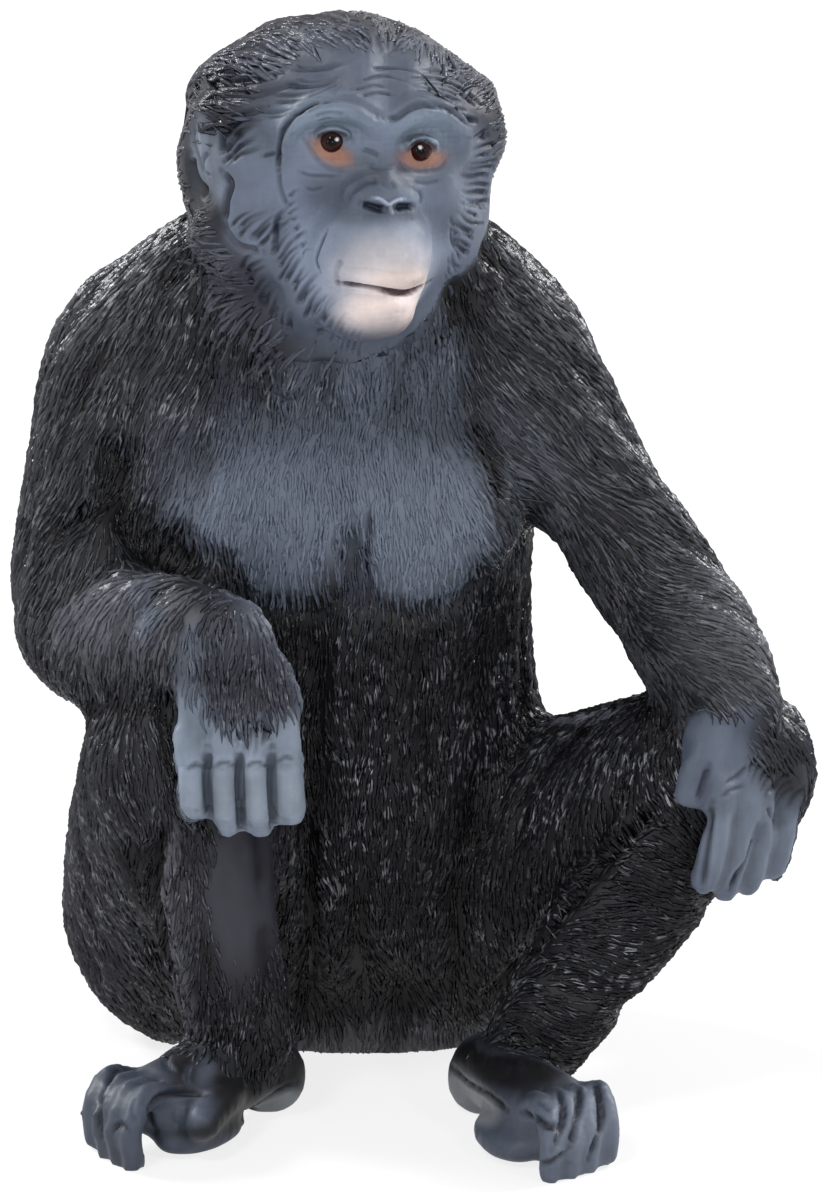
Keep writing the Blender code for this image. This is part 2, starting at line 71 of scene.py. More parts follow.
def at(point: Point) -> Vector:
    """Place a point of the clay, in millimetres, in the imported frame, in metres.

    Args:
        point: The point as the clay model gives it.

    Returns:
        The same point in the frame.
    """
    return (Vector(point) + Vector(CLAY_SHIFT)) * (CLAY_SCALE * MM)


def ink(red: float, green: float, blue: float) -> np.ndarray:
    """Turn a colour as a screen shows it, 0 to 255, into linear light.

    Args:
        red: Red, 0 to 255.
        green: Green, 0 to 255.
        blue: Blue, 0 to 255.

    Returns:
        Three linear values.
    """
    share = np.array((red, green, blue), float) / 255
    return np.where(share <= 0.04045, share / 12.92, ((share + 0.055) / 1.055) ** 2.4)


def opaque(colour: Colour) -> tuple[float, ...]:
    """Give a screen colour as a colour socket takes it."""
    return (*ink(*colour), 1.0)


def step(low: float, high: float, value: np.ndarray) -> np.ndarray:
    """Rise smoothly from 0 at low to 1 at high.

    Args:
        low: Where the rise starts.
        high: Where it ends.
        value: The values to look up.

    Returns:
        The height of the rise at each value.
    """
    share = np.clip((value - low) / (high - low), 0, 1)
    return share * share * (3 - 2 * share)


def unit(rows: np.ndarray) -> np.ndarray:
    """Bring each row to a length of 1."""
    return rows / np.maximum(np.linalg.norm(rows, axis=1), TINY)[:, None]


def smooth_path(path: tuple[Pixel, ...], gap: float) -> list[Pixel]:
    """Run a smooth line through points of the frame.

    Args:
        path: The points.
        gap: The distance between samples.

    Returns:
        The samples.
    """
    marks = np.array(path, float)
    padded = np.vstack((2 * marks[0] - marks[1], marks, 2 * marks[-1] - marks[-2]))
    out = []
    for a, b, c, d in zip(padded, padded[1:], padded[2:], padded[3:]):
        count = max(2, int(np.linalg.norm(c - b) / gap))
        for share in np.linspace(0, 1, count, endpoint=False):
            out.append(0.5 * (2 * b + (c - a) * share + (2 * a - 5 * b + 4 * c - d) * share ** 2
                              + (3 * b - a - 3 * c + d) * share ** 3))
    out.append(marks[-1])
    return [(float(x), float(y)) for x, y in out]


@dataclass(frozen=True)
class FrontView:
    """The portrait's line of sight, with its 823 by 1200 frame laid over the figure."""

    target: Point = (0.0, 0.0, 30.6)
    distance: float = 550.0
    elevation: float = 15.0
    focal: float = 9350.0
    width: int = 823
    height: int = 1200
    sensor: float = 36.0
    nearest: float = 0.01
    farthest: float = 20.0

    def axes(self) -> tuple[Vector, Vector, Vector]:
        """Work out the view's own axes.

        Returns:
            Its right, up and backward directions.
        """
        turn = math.radians(self.elevation)
        back = Vector((0, -math.cos(turn), math.sin(turn)))
        up = Vector((0, math.sin(turn), math.cos(turn)))
        return Vector((1, 0, 0)), up, back

    def eye(self) -> Vector:
        """Give the place that the figure is seen from."""
        return at(self.target) + self.axes()[2] * (self.distance * MM)

    def pixels(self, points: np.ndarray) -> np.ndarray:
        """Find where points fall in the frame.

        Args:
            points: Points in metres, one per row.

        Returns:
            The frame's x and y of each.
        """
        right, up, back = (np.array(axis) for axis in self.axes())
        offset = points - np.array(at(self.target))
        depth = self.distance * MM - offset @ back
        across = self.width / 2 + offset @ right * self.focal / depth
        down = self.height / 2 - offset @ up * self.focal / depth
        return np.stack((across, down), 1)

    def ray(self, pixel: Pixel) -> Vector:
        """Give the direction in which a place of the frame is seen.

        Args:
            pixel: x and y in the frame.

        Returns:
            A unit direction away from the eye.
        """
        right, up, back = self.axes()
        across = (pixel[0] - self.width / 2) / self.focal
        rise = (self.height / 2 - pixel[1]) / self.focal
        return (right * across + up * rise - back).normalized()

    def camera(self) -> bpy.types.Object:
        """Set up the camera that takes the portrait.

        Returns:
            The camera.
        """
        data = bpy.data.cameras.new("portrait_camera")
        data.sensor_fit = "VERTICAL"
        data.sensor_height = self.sensor
        data.sensor_width = self.sensor
        data.lens = self.focal * self.sensor / self.height
        data.clip_start = self.nearest
        data.clip_end = self.farthest
        camera = bpy.data.objects.new("portrait_camera", data)
        turn = Matrix(self.axes()).transposed().to_4x4()
        camera.matrix_world = Matrix.Translation(self.eye()) @ turn
        bpy.context.scene.collection.objects.link(camera)
        bpy.context.scene.camera = camera
        return camera


VIEW = FrontView()


class Part(IntEnum):
    """The parts of the body, as the fur and the paint tell them apart."""

    HEAD = 0
    TORSO = 1
    RIGHT_UPPER_ARM = 2
    RIGHT_FOREARM = 3
    RIGHT_HAND = 4
    LEFT_UPPER_ARM = 5
    LEFT_FOREARM = 6
    LEFT_HAND = 7
    RIGHT_THIGH = 8
    RIGHT_SHIN = 9
    RIGHT_FOOT = 10
    LEFT_THIGH = 11
    LEFT_SHIN = 12
    LEFT_FOOT = 13


class Coat(IntEnum):
    """The pieces that the fur is laid in."""

    HEAD = 0
    TORSO = 1
    ARMS = 2
    LEGS = 3


def coat_of(part: Part) -> Coat:
    """Tell which coat covers a part of the body.

    Args:
        part: The part.

    Returns:
        Its coat.
    """
    if part <= Part.TORSO:
        return Coat(int(part))
    return Coat.ARMS if part <= Part.LEFT_HAND else Coat.LEGS


HEAD = (Part.HEAD,)
TORSO = (Part.TORSO,)
RIGHT_HAND = (Part.RIGHT_HAND,)
LEFT_HAND = (Part.LEFT_HAND,)
RIGHT_FOOT = (Part.RIGHT_FOOT,)
LEFT_FOOT = (Part.LEFT_FOOT,)
LEFT_THIGH = (Part.LEFT_THIGH,)
RIGHT_SHIN = (Part.RIGHT_SHIN,)
RIGHT_WRIST = (Part.RIGHT_HAND, Part.RIGHT_FOREARM)
RIGHT_LEG = (Part.RIGHT_THIGH, Part.RIGHT_SHIN)
ARMS = (Part.RIGHT_UPPER_ARM, Part.RIGHT_FOREARM, Part.LEFT_UPPER_ARM, Part.LEFT_FOREARM)
BREAST = (Part.TORSO, Part.RIGHT_UPPER_ARM, Part.LEFT_UPPER_ARM)
ARM_PIT = (Part.TORSO, Part.RIGHT_UPPER_ARM, Part.RIGHT_FOREARM, Part.RIGHT_HAND)


@dataclass(frozen=True)
class Bone:
    """One limb of the body and the way its hair is combed."""

    part: Part
    start: Point
    end: Point
    radii: Span
    comb: Point
    outward: float = 0.0

    def distance(self, points: np.ndarray) -> tuple[np.ndarray, np.ndarray]:
        """Measure how far points lie outside the limb.

        Args:
            points: Points in metres, one per row.

        Returns:
            The distance in millimetres and the direction away from the bone.
        """
        start, end = np.array(at(self.start)), np.array(at(self.end))
        axis = end - start
        share = np.clip((points - start) @ axis / (axis @ axis), 0, 1)
        away = points - (start + share[:, None] * axis)
        length = np.linalg.norm(away, axis=1)
        radius = self.radii[0] + (self.radii[1] - self.radii[0]) * share
        return length / MM - radius, away / np.maximum(length, TINY)[:, None]


BONES = (
    Bone(Part.HEAD, (-3.9, 1.6, 58.0), (-4.8, -1.5, 51.0), (8.6, 5.6), (0, 0, -1)),
    Bone(Part.TORSO, (-3.0, 14.6, 4.0), (-4.0, 7.6, 45.0), (11.6, 9.6), (0, 0, -1), 0.25),
    Bone(Part.RIGHT_UPPER_ARM, (-14.8, 7.2, 43.3), (-19.1, 1.8, 28.7), (6.7, 4.6),
         (-0.42, 0.1, -1.0)),
    Bone(Part.RIGHT_FOREARM, (-19.1, 1.8, 28.7), (-10.7, -6.8, 29.6), (4.4, 3.0),
         (-0.35, 0, -1.0)),
    Bone(Part.RIGHT_HAND, (-10.7, -6.8, 29.6), (-9.6, -9.8, 19.0), (3.2, 2.6), (0.1, 0, -1.0)),
    Bone(Part.LEFT_UPPER_ARM, (4.2, 7.4, 43.6), (14.5, 1.6, 31.2), (6.5, 4.0),
         (0.85, 0.15, -0.75)),
    Bone(Part.LEFT_FOREARM, (14.5, 1.6, 31.2), (19.0, -5.8, 25.9), (3.8, 3.2),
         (1.0, 0.1, -0.35)),
    Bone(Part.LEFT_HAND, (19.0, -5.8, 25.9), (20.8, -9.6, 15.8), (3.2, 2.6), (0.8, 0, -0.9)),
    Bone(Part.RIGHT_THIGH, (-12.5, 12.6, 8.0), (-14.0, -2.8, 21.6), (8.8, 5.6), (0.1, 0, -1.0)),
    Bone(Part.RIGHT_SHIN, (-14.0, -2.8, 21.6), (-10.0, -4.4, 5.2), (5.2, 3.4), (0, 0, -1.0), 0.6),
    Bone(Part.RIGHT_FOOT, (-8.2, -1.6, 2.0), (-16.0, -13.2, 1.6), (2.8, 2.4), (0, 0, -1)),
    Bone(Part.LEFT_THIGH, (4.8, 12.8, 8.8), (18.0, -2.6, 21.0), (8.8, 5.6), (-0.15, 0, -1.0)),
    Bone(Part.LEFT_SHIN, (18.0, -2.6, 21.0), (7.6, -4.6, 5.2), (5.2, 3.4), (1.0, 0.1, -0.3)),
    Bone(Part.LEFT_FOOT, (4.2, -1.9, 2.0), (8.0, -15.2, 1.6), (2.8, 2.4), (0, 0, -1)),
)
HEAD_CENTRE: Point = (-3.9, 0.8, 56.2)
HEAD_YAW = 18.0
HEAD_TILT = 6.5


def head_axes() -> Matrix:
    """Work out the head's own axes, with the face towards -Y.

    Returns:
        The head's turn and place in the frame.
    """
    turn = Matrix.Rotation(math.radians(HEAD_YAW), 4, "Z")
    tilt = Matrix.Rotation(math.radians(HEAD_TILT), 4, "Y")
    return Matrix.Translation(at(HEAD_CENTRE)) @ turn @ tilt


@dataclass(frozen=True)
class Stroke:
    """A pass of a modelling tool, drawn in the frame; a depth below zero builds up. Its paint is
    painted shade in the trenches and some creases, and a painted highlight on a few crests.
    """

    path: tuple[Pixel, ...]
    width: float
    depth: float
    paint_and_shading: float = 0.0
    parts: tuple[Part, ...] = ()
    colour: Colour = BLACK
    pointed: bool = False


@dataclass(frozen=True)
class ToolEnd:
    """How a stroke's trough and its paint fade across the stroke and towards its ends."""

    margin: float = 40.0
    roundness: float = 1.5
    shortest: int = 8
    blunt_rise: float = 7.0
    blunt_floor: float = 0.25
    point_rise: float = 9.0
    point_floor: float = 0.4
    point_fall: float = 1.2
    wet_reach: float = 1.25

    def taper(self, along: np.ndarray, samples: int, pointed: bool) -> np.ndarray | float:
        """Work out how much of the tool is pressed in along a stroke.

        Args:
            along: Where each vertex lies along the stroke, 0 to 1.
            samples: How many samples the stroke has.
            pointed: Whether the stroke runs out in a point.

        Returns:
            A share from 0 to 1 for each vertex, or for all.
        """
        if pointed:
            return (np.clip(along * self.point_rise + self.point_floor, 0, 1)
                    * np.clip(self.point_fall * (1 - along), 0, 1))
        if samples < self.shortest:
            return 1.0
        return np.clip(np.minimum(along, 1 - along) * self.blunt_rise, self.blunt_floor, 1)

    def trough(self, gap: np.ndarray) -> np.ndarray:
        """Give the depth across a stroke, by the gap from its line in widths."""
        return np.clip(1 - gap ** 2, 0, 1) ** self.roundness

    def wet(self, gap: np.ndarray) -> np.ndarray:
        """Give the paint across a stroke, by the gap from its line in widths."""
        return np.clip(self.wet_reach - gap, 0, 1)


TOOL = ToolEnd()


@dataclass(frozen=True)
class Spray:
    """A soft-edged patch of the frame, which may be airbrushed with a colour."""

    centre: Pixel
    reach: Span
    colour: Colour = BLACK
    turn: float = 0.0
    soft: float = 0.4
    strength: float = 1.0
    parts: tuple[Part, ...] = ()
    ahead: float | None = None

    def cover(self, pixels: np.ndarray) -> np.ndarray:
        """Work out how much of the spray lands at places of the frame.

        Args:
            pixels: x and y in the frame, one place per row.

        Returns:
            A share from 0 to the spray's strength.
        """
        offset = pixels - np.array(self.centre)
        cos, sin = math.cos(math.radians(self.turn)), math.sin(math.radians(self.turn))
        across = (offset[:, 0] * cos + offset[:, 1] * sin) / self.reach[0]
        along = (-offset[:, 0] * sin + offset[:, 1] * cos) / self.reach[1]
        spread = np.hypot(across, along)
        return self.strength * (1 - step(1 - self.soft, 1 + self.soft, spread))


@dataclass(frozen=True)
class Strands:
    """A fan of engraved hairs between two guide lines drawn in the frame."""

    inner: tuple[Pixel, ...]
    outer: tuple[Pixel, ...]
    count: int
    parts: tuple[Part, ...]
    width: float
    depth: float
    paint_and_shading: float
    bow: float
    colour: Colour
    seed: int
    stagger: Span = (0.2, 0.8)
    root: Span = (-0.1, 0.35)
    tip: Span = (0.75, 1.08)
    lean: Span = (0.5, 1.5)
    sway: float = 1.6
    ripple: float = 7.0
    size: Span = (0.7, 1.3)
    fade: Span = (0.6, 1.1)
    marks: int = 5

    def strokes(self) -> list[Stroke]:
        """Draw the hairs one by one, each a little astray.

        Returns:
            One stroke for each hair.
        """
        draw = np.random.RandomState(self.seed)
        inner = np.array(smooth_path(self.inner, 1.0))
        outer = np.array(smooth_path(self.outer, 1.0))
        out = []
        for share in (np.arange(self.count) + draw.uniform(*self.stagger, self.count)) / self.count:
            start = inner[int(share * (len(inner) - 1))]
            end = outer[int(share * (len(outer) - 1))]
            low, high = draw.uniform(*self.root), draw.uniform(*self.tip)
            across = np.array((start[1] - end[1], end[0] - start[0]))
            across /= max(np.linalg.norm(across), TINY)
            lean = self.bow * draw.uniform(*self.lean)
            sway = draw.uniform(-self.sway, self.sway)
            path = []
            for place in np.linspace(low, high, self.marks):
                bend = lean * math.sin(math.pi * place) + sway * math.sin(self.ripple * place)
                mark = start + (end - start) * place + across * bend
                path.append((float(mark[0]), float(mark[1])))
            size = draw.uniform(*self.size)
            out.append(Stroke(tuple(reversed(path)), self.width * size, self.depth * size,
                              self.paint_and_shading * draw.uniform(*self.fade), self.parts, self.colour,
                              pointed=True))
        return out


BASE_PAINT: dict[Part, Colour] = {
    Part.HEAD: (31, 31, 38),
    Part.RIGHT_HAND: (100, 109, 122),
    Part.LEFT_HAND: (68, 75, 88),
    Part.RIGHT_FOOT: (54, 59, 70),
    Part.LEFT_FOOT: (66, 72, 84),
}

SPRAYS = (
    # The face, from its rim to the muzzle.
    Spray((362, 205), (142, 150), (70, 77, 90), soft=0.12, parts=HEAD),
    Spray((372, 200), (100, 104), (92, 101, 117), soft=0.3, parts=HEAD),
    Spray((362, 74), (96, 34), (76, 82, 95), soft=0.6, parts=HEAD),
    Spray((245, 205), (34, 60), (84, 92, 107), soft=0.4, parts=HEAD),
    Spray((207, 155), (16, 42), (84, 91, 102), soft=0.4, parts=HEAD),
    Spray((322, 122), (44, 24), (98, 109, 123), soft=0.5, parts=HEAD),
    Spray((428, 130), (34, 22), (98, 109, 123), soft=0.5, parts=HEAD),
    Spray((336, 194), (34, 20), (64, 71, 85), soft=0.8, parts=HEAD),
    Spray((458, 192), (22, 50), (84, 92, 106), soft=0.6, parts=HEAD),
    Spray((388, 214), (42, 11), (66, 73, 85), soft=0.8, parts=HEAD),
    Spray((387, 176), (48, 20), (65, 71, 83), soft=0.8, parts=HEAD),
    Spray((318, 262), (22, 40), (106, 116, 133), soft=0.7, parts=HEAD),
    Spray((384, 283), (58, 54), (118, 125, 138), soft=0.3, parts=HEAD, ahead=-5.0),
    Spray((388, 276), (46, 34), (164, 160, 163), soft=0.6, parts=HEAD, ahead=-6.0),
    Spray((402, 281), (34, 13), (182, 169, 163), soft=0.6, parts=HEAD, ahead=-6.0),
    Spray((386, 314), (42, 22), (194, 180, 176), soft=0.5, parts=HEAD, ahead=-5.2),
    # The lids.
    Spray((331, 152), (24, 12), (110, 87, 84), soft=0.4, turn=26, parts=HEAD),
    Spray((332, 153), (18, 8), (132, 96, 80), soft=0.5, turn=26, parts=HEAD),
    Spray((422, 158), (24, 11), (118, 91, 87), soft=0.4, parts=HEAD),
    Spray((423, 159), (18, 7), (136, 98, 82), soft=0.5, parts=HEAD),
    # The shade behind the cheek.
    Spray((204, 226), (21, 34), (32, 33, 40), soft=0.3, parts=HEAD),
    Spray((232, 292), (34, 56), (52, 54, 63), soft=0.4, turn=-30, parts=HEAD),
    # The grey of the breast and the dark round it; the dark in the cleft and the armpit is painted
    # shade.
    Spray((340, 440), (155, 62), (64, 70, 82), soft=0.9, parts=BREAST),
    Spray((338, 492), (146, 54), (82, 89, 102), soft=0.8, parts=BREAST),
    Spray((256, 520), (84, 72), (89, 97, 111), soft=0.32, turn=12, parts=BREAST),
    Spray((418, 518), (68, 76), (90, 98, 111), soft=0.28, turn=-10, parts=BREAST),
    Spray((358, 566), (10, 40), (46, 52, 64), soft=0.9, strength=0.8, parts=BREAST),
    Spray((486, 470), (10, 60), BLACK, soft=0.8, turn=-14, parts=BREAST),
    Spray((150, 534), (66, 32), CREVICE_SHADE, soft=0.45, turn=28, parts=ARM_PIT),
    Spray((122, 470), (11, 44), CREVICE_SHADE, soft=0.6, parts=ARM_PIT),
    Spray((400, 365), (86, 40), (70, 76, 88), soft=0.6, parts=TORSO + HEAD),
    Spray((405, 1045), (120, 26), (92, 92, 97), soft=0.5, parts=TORSO),
    # The limbs.
    Spray((90, 600), (110, 50), (62, 63, 70), soft=0.6, parts=(Part.RIGHT_FOREARM,)),
    Spray((750, 610), (70, 80), (58, 58, 63), soft=0.6, parts=(Part.LEFT_FOREARM,)),
    Spray((240, 890), (46, 80), (40, 40, 48), soft=0.5, parts=RIGHT_SHIN),
    Spray((176, 920), (14, 120), (58, 58, 65), soft=0.6, turn=-8, parts=RIGHT_LEG),
    Spray((90, 880), (60, 120), (30, 30, 35), soft=0.6, parts=(Part.RIGHT_THIGH,)),
    # The feet.
    Spray((110, 1100), (52, 34), (55, 61, 72), soft=0.5, parts=RIGHT_FOOT),
    Spray((590, 1110), (42, 60), (80, 86, 98), soft=0.5, parts=LEFT_FOOT),
    Spray((240, 1064), (78, 40), (11, 11, 14), soft=0.22, parts=RIGHT_FOOT),
    Spray((228, 1116), (62, 18), (12, 12, 15), soft=0.4, turn=-14, parts=RIGHT_FOOT),
    Spray((184, 1112), (32, 16), (66, 72, 84), soft=0.4, turn=-8, parts=RIGHT_FOOT),
    Spray((206, 1070), (9, 26), (58, 64, 76), soft=0.6, turn=8, parts=RIGHT_FOOT),
    Spray((280, 1106), (24, 15), (112, 116, 118), soft=0.3, turn=-20, parts=RIGHT_FOOT),
    Spray((507, 1058), (70, 36), (11, 11, 14), soft=0.35, turn=10, parts=LEFT_FOOT),
    Spray((470, 1099), (36, 17), (112, 115, 120), soft=0.25, turn=40, parts=LEFT_FOOT),
    # The hands.
    Spray((250, 668), (70, 54), (40, 41, 49), soft=0.5, parts=RIGHT_WRIST),
    Spray((206, 588), (52, 40), (30, 30, 36), soft=0.5, parts=RIGHT_WRIST),
    Spray((156, 602), (10, 26), (76, 85, 99), soft=0.6, parts=RIGHT_WRIST),
    Spray((194, 720), (14, 30), (86, 95, 107), soft=0.5, parts=RIGHT_WRIST),
    Spray((250, 795), (70, 30), (102, 110, 121), soft=0.5, parts=RIGHT_HAND),
    Spray((752, 842), (52, 52), (80, 88, 100), soft=0.5, parts=LEFT_HAND),
    Spray((704, 784), (7, 20), (46, 50, 64), soft=0.9, turn=10, parts=LEFT_HAND),
    Spray((798, 742), (48, 62), (30, 31, 36), soft=0.3, parts=LEFT_HAND),
)

# Where the skin stays bare, and where hair reaches over the backs of the hands.
BARE = (
    Spray((366, 205), (132, 150), soft=0.08, parts=HEAD),
    Spray((250, 190), (34, 60), soft=0.1, parts=HEAD),
    Spray((207, 156), (16, 44), soft=0.2, parts=HEAD),
    Spray((245, 890), (38, 84), soft=0.25, parts=RIGHT_SHIN),
)
HAIRED_BACKS = (
    Spray((245, 655), (64, 62), soft=0.2, parts=RIGHT_HAND),
    Spray((800, 742), (52, 58), soft=0.1, parts=LEFT_HAND),
)

# Where the most glints are painted on the fur.
GLINT_ZONES = (
    Spray((600, 800), (95, 90), soft=0.5),
    Spray((350, 770), (60, 100), soft=0.5),
    Spray((496, 600), (20, 100), soft=0.5),
    Spray((150, 330), (62, 72), soft=0.5),
    Spray((560, 930), (90, 60), soft=0.5, turn=-45),
)

# How strongly the ridges of the locks are dry-brushed, and how many painted glints they carry.
DRY_BRUSH = {ARMS: 0.52, HEAD: 0.32, (Part.RIGHT_THIGH,): 0.25}
DRY_ELSEWHERE = 0.07
GLINT_PAINT_BY_PART = {ARMS: 0.75, HEAD: 0.25}
GLINT_PAINT_ELSEWHERE = 1.0

# Where the chest is smooth under fine hair.
CHEST = Spray((350, 520), (185, 115), soft=0.2, parts=TORSO)

# Where the mesh is divided once, and once more.
FINE_ZONES = (
    Spray((350, 190), (172, 180), parts=HEAD),
    Spray((240, 750), (75, 100), parts=RIGHT_HAND),
    Spray((750, 800), (90, 130), parts=LEFT_HAND),
    Spray((180, 1110), (150, 70), parts=RIGHT_FOOT),
    Spray((530, 1120), (120, 90), parts=LEFT_FOOT),
)
FINEST_ZONES = (
    Spray((345, 195), (160, 162), parts=HEAD),
)

# Engraved hair round the face and on the hands and feet.
FANS = (
    Strands(((276, 104), (262, 128), (262, 150)), ((222, 120), (224, 146), (226, 172)), 8, HEAD,
            0.26, 0.34, 0.85, 3.0, (22, 24, 31), 3),
    Strands(((318, 84), (306, 64), (318, 48)), ((206, 104), (203, 84), (222, 60)), 12, HEAD, 0.22,
            0.2, 0.6, -6.0, INK_LINE, 4),
    Strands(((264, 206), (280, 212), (290, 228)), ((228, 226), (240, 242), (262, 250)), 6, HEAD,
            0.22, 0.24, 0.7, 4.0, INK_LINE, 5),
    Strands(((292, 196), (304, 230), (316, 268), (336, 308)), ((274, 228), (274, 262), (292, 300),
            (322, 336)), 17, HEAD, 0.2, 0.24, 0.7, 3.0, (40, 45, 58), 6),
    Strands(((262, 246), (276, 282), (300, 312)), ((240, 268), (262, 306), (292, 338)), 10, HEAD,
            0.24, 0.24, 0.7, 3.0, INK_LINE, 7),
    Strands(((328, 282), (344, 312), (372, 332)), ((304, 312), (326, 342), (362, 360)), 12,
            HEAD + TORSO, 0.2, 0.16, 0.5, 2.0, SOFT_LINE, 8),
    Strands(((300, 190), (306, 220), (318, 252)), ((286, 196), (290, 226), (304, 262)), 8, HEAD,
            0.16, 0.12, 0.5, 2.0, SOFT_LINE, 9),
    Strands(((340, 90), (344, 78), (352, 66), (356, 54)), ((262, 122), (268, 100), (284, 80),
            (304, 62)), 9, HEAD, 0.18, 0.14, 0.5, -7.0, (50, 55, 67), 10),
    Strands(((398, 98), (394, 86), (390, 74)), ((470, 126), (478, 108), (476, 88)), 9, HEAD, 0.2,
            0.18, 0.6, -9.0, INK_LINE, 11),
    Strands(((360, 60), (372, 56), (392, 58)), ((352, 36), (376, 32), (404, 40)), 8, HEAD, 0.2,
            0.12, 0.4, 2.0, (50, 55, 67), 12),
    Strands(((464, 134), (460, 165), (456, 205), (450, 240)), ((494, 122), (494, 165), (484, 215),
            (470, 262)), 17, HEAD, 0.22, 0.26, 0.75, 3.0, INK_LINE, 13),
    Strands(((446, 206), (450, 240), (444, 280)), ((460, 226), (460, 262), (450, 300)), 10, HEAD,
            0.18, 0.18, 0.6, 2.0, (40, 45, 58), 14),
    Strands(((380, 342), (420, 334), (440, 306)), ((384, 372), (432, 360), (462, 326)), 11,
            HEAD + TORSO, 0.2, 0.16, 0.5, 2.0, SOFT_LINE, 15),
    Strands(((224, 752), (246, 758), (266, 752)), ((232, 712), (252, 716), (270, 722)), 6,
            RIGHT_HAND, 0.24, 0.26, 0.8, 1.0, INK_LINE, 16),
    Strands(((196, 742), (212, 748)), ((200, 690), (222, 700)), 4, RIGHT_HAND, 0.2, 0.14, 0.5, 2.0,
            SOFT_LINE, 17),
    Strands(((744, 776), (760, 800), (786, 812)), ((762, 752), (784, 772), (806, 792)), 8,
            LEFT_HAND, 0.22, 0.22, 0.7, -3.0, INK_LINE, 18),
    Strands(((196, 1060), (240, 1076), (290, 1066)), ((200, 1034), (240, 1040), (288, 1040)), 9,
            RIGHT_FOOT, 0.24, 0.16, 0.2, 2.0, BLACK, 19),
    Strands(((470, 1062), (520, 1078), (560, 1070)), ((466, 1040), (510, 1046), (560, 1044)), 9,
            LEFT_FOOT, 0.24, 0.16, 0.2, 2.0, BLACK, 20),
)

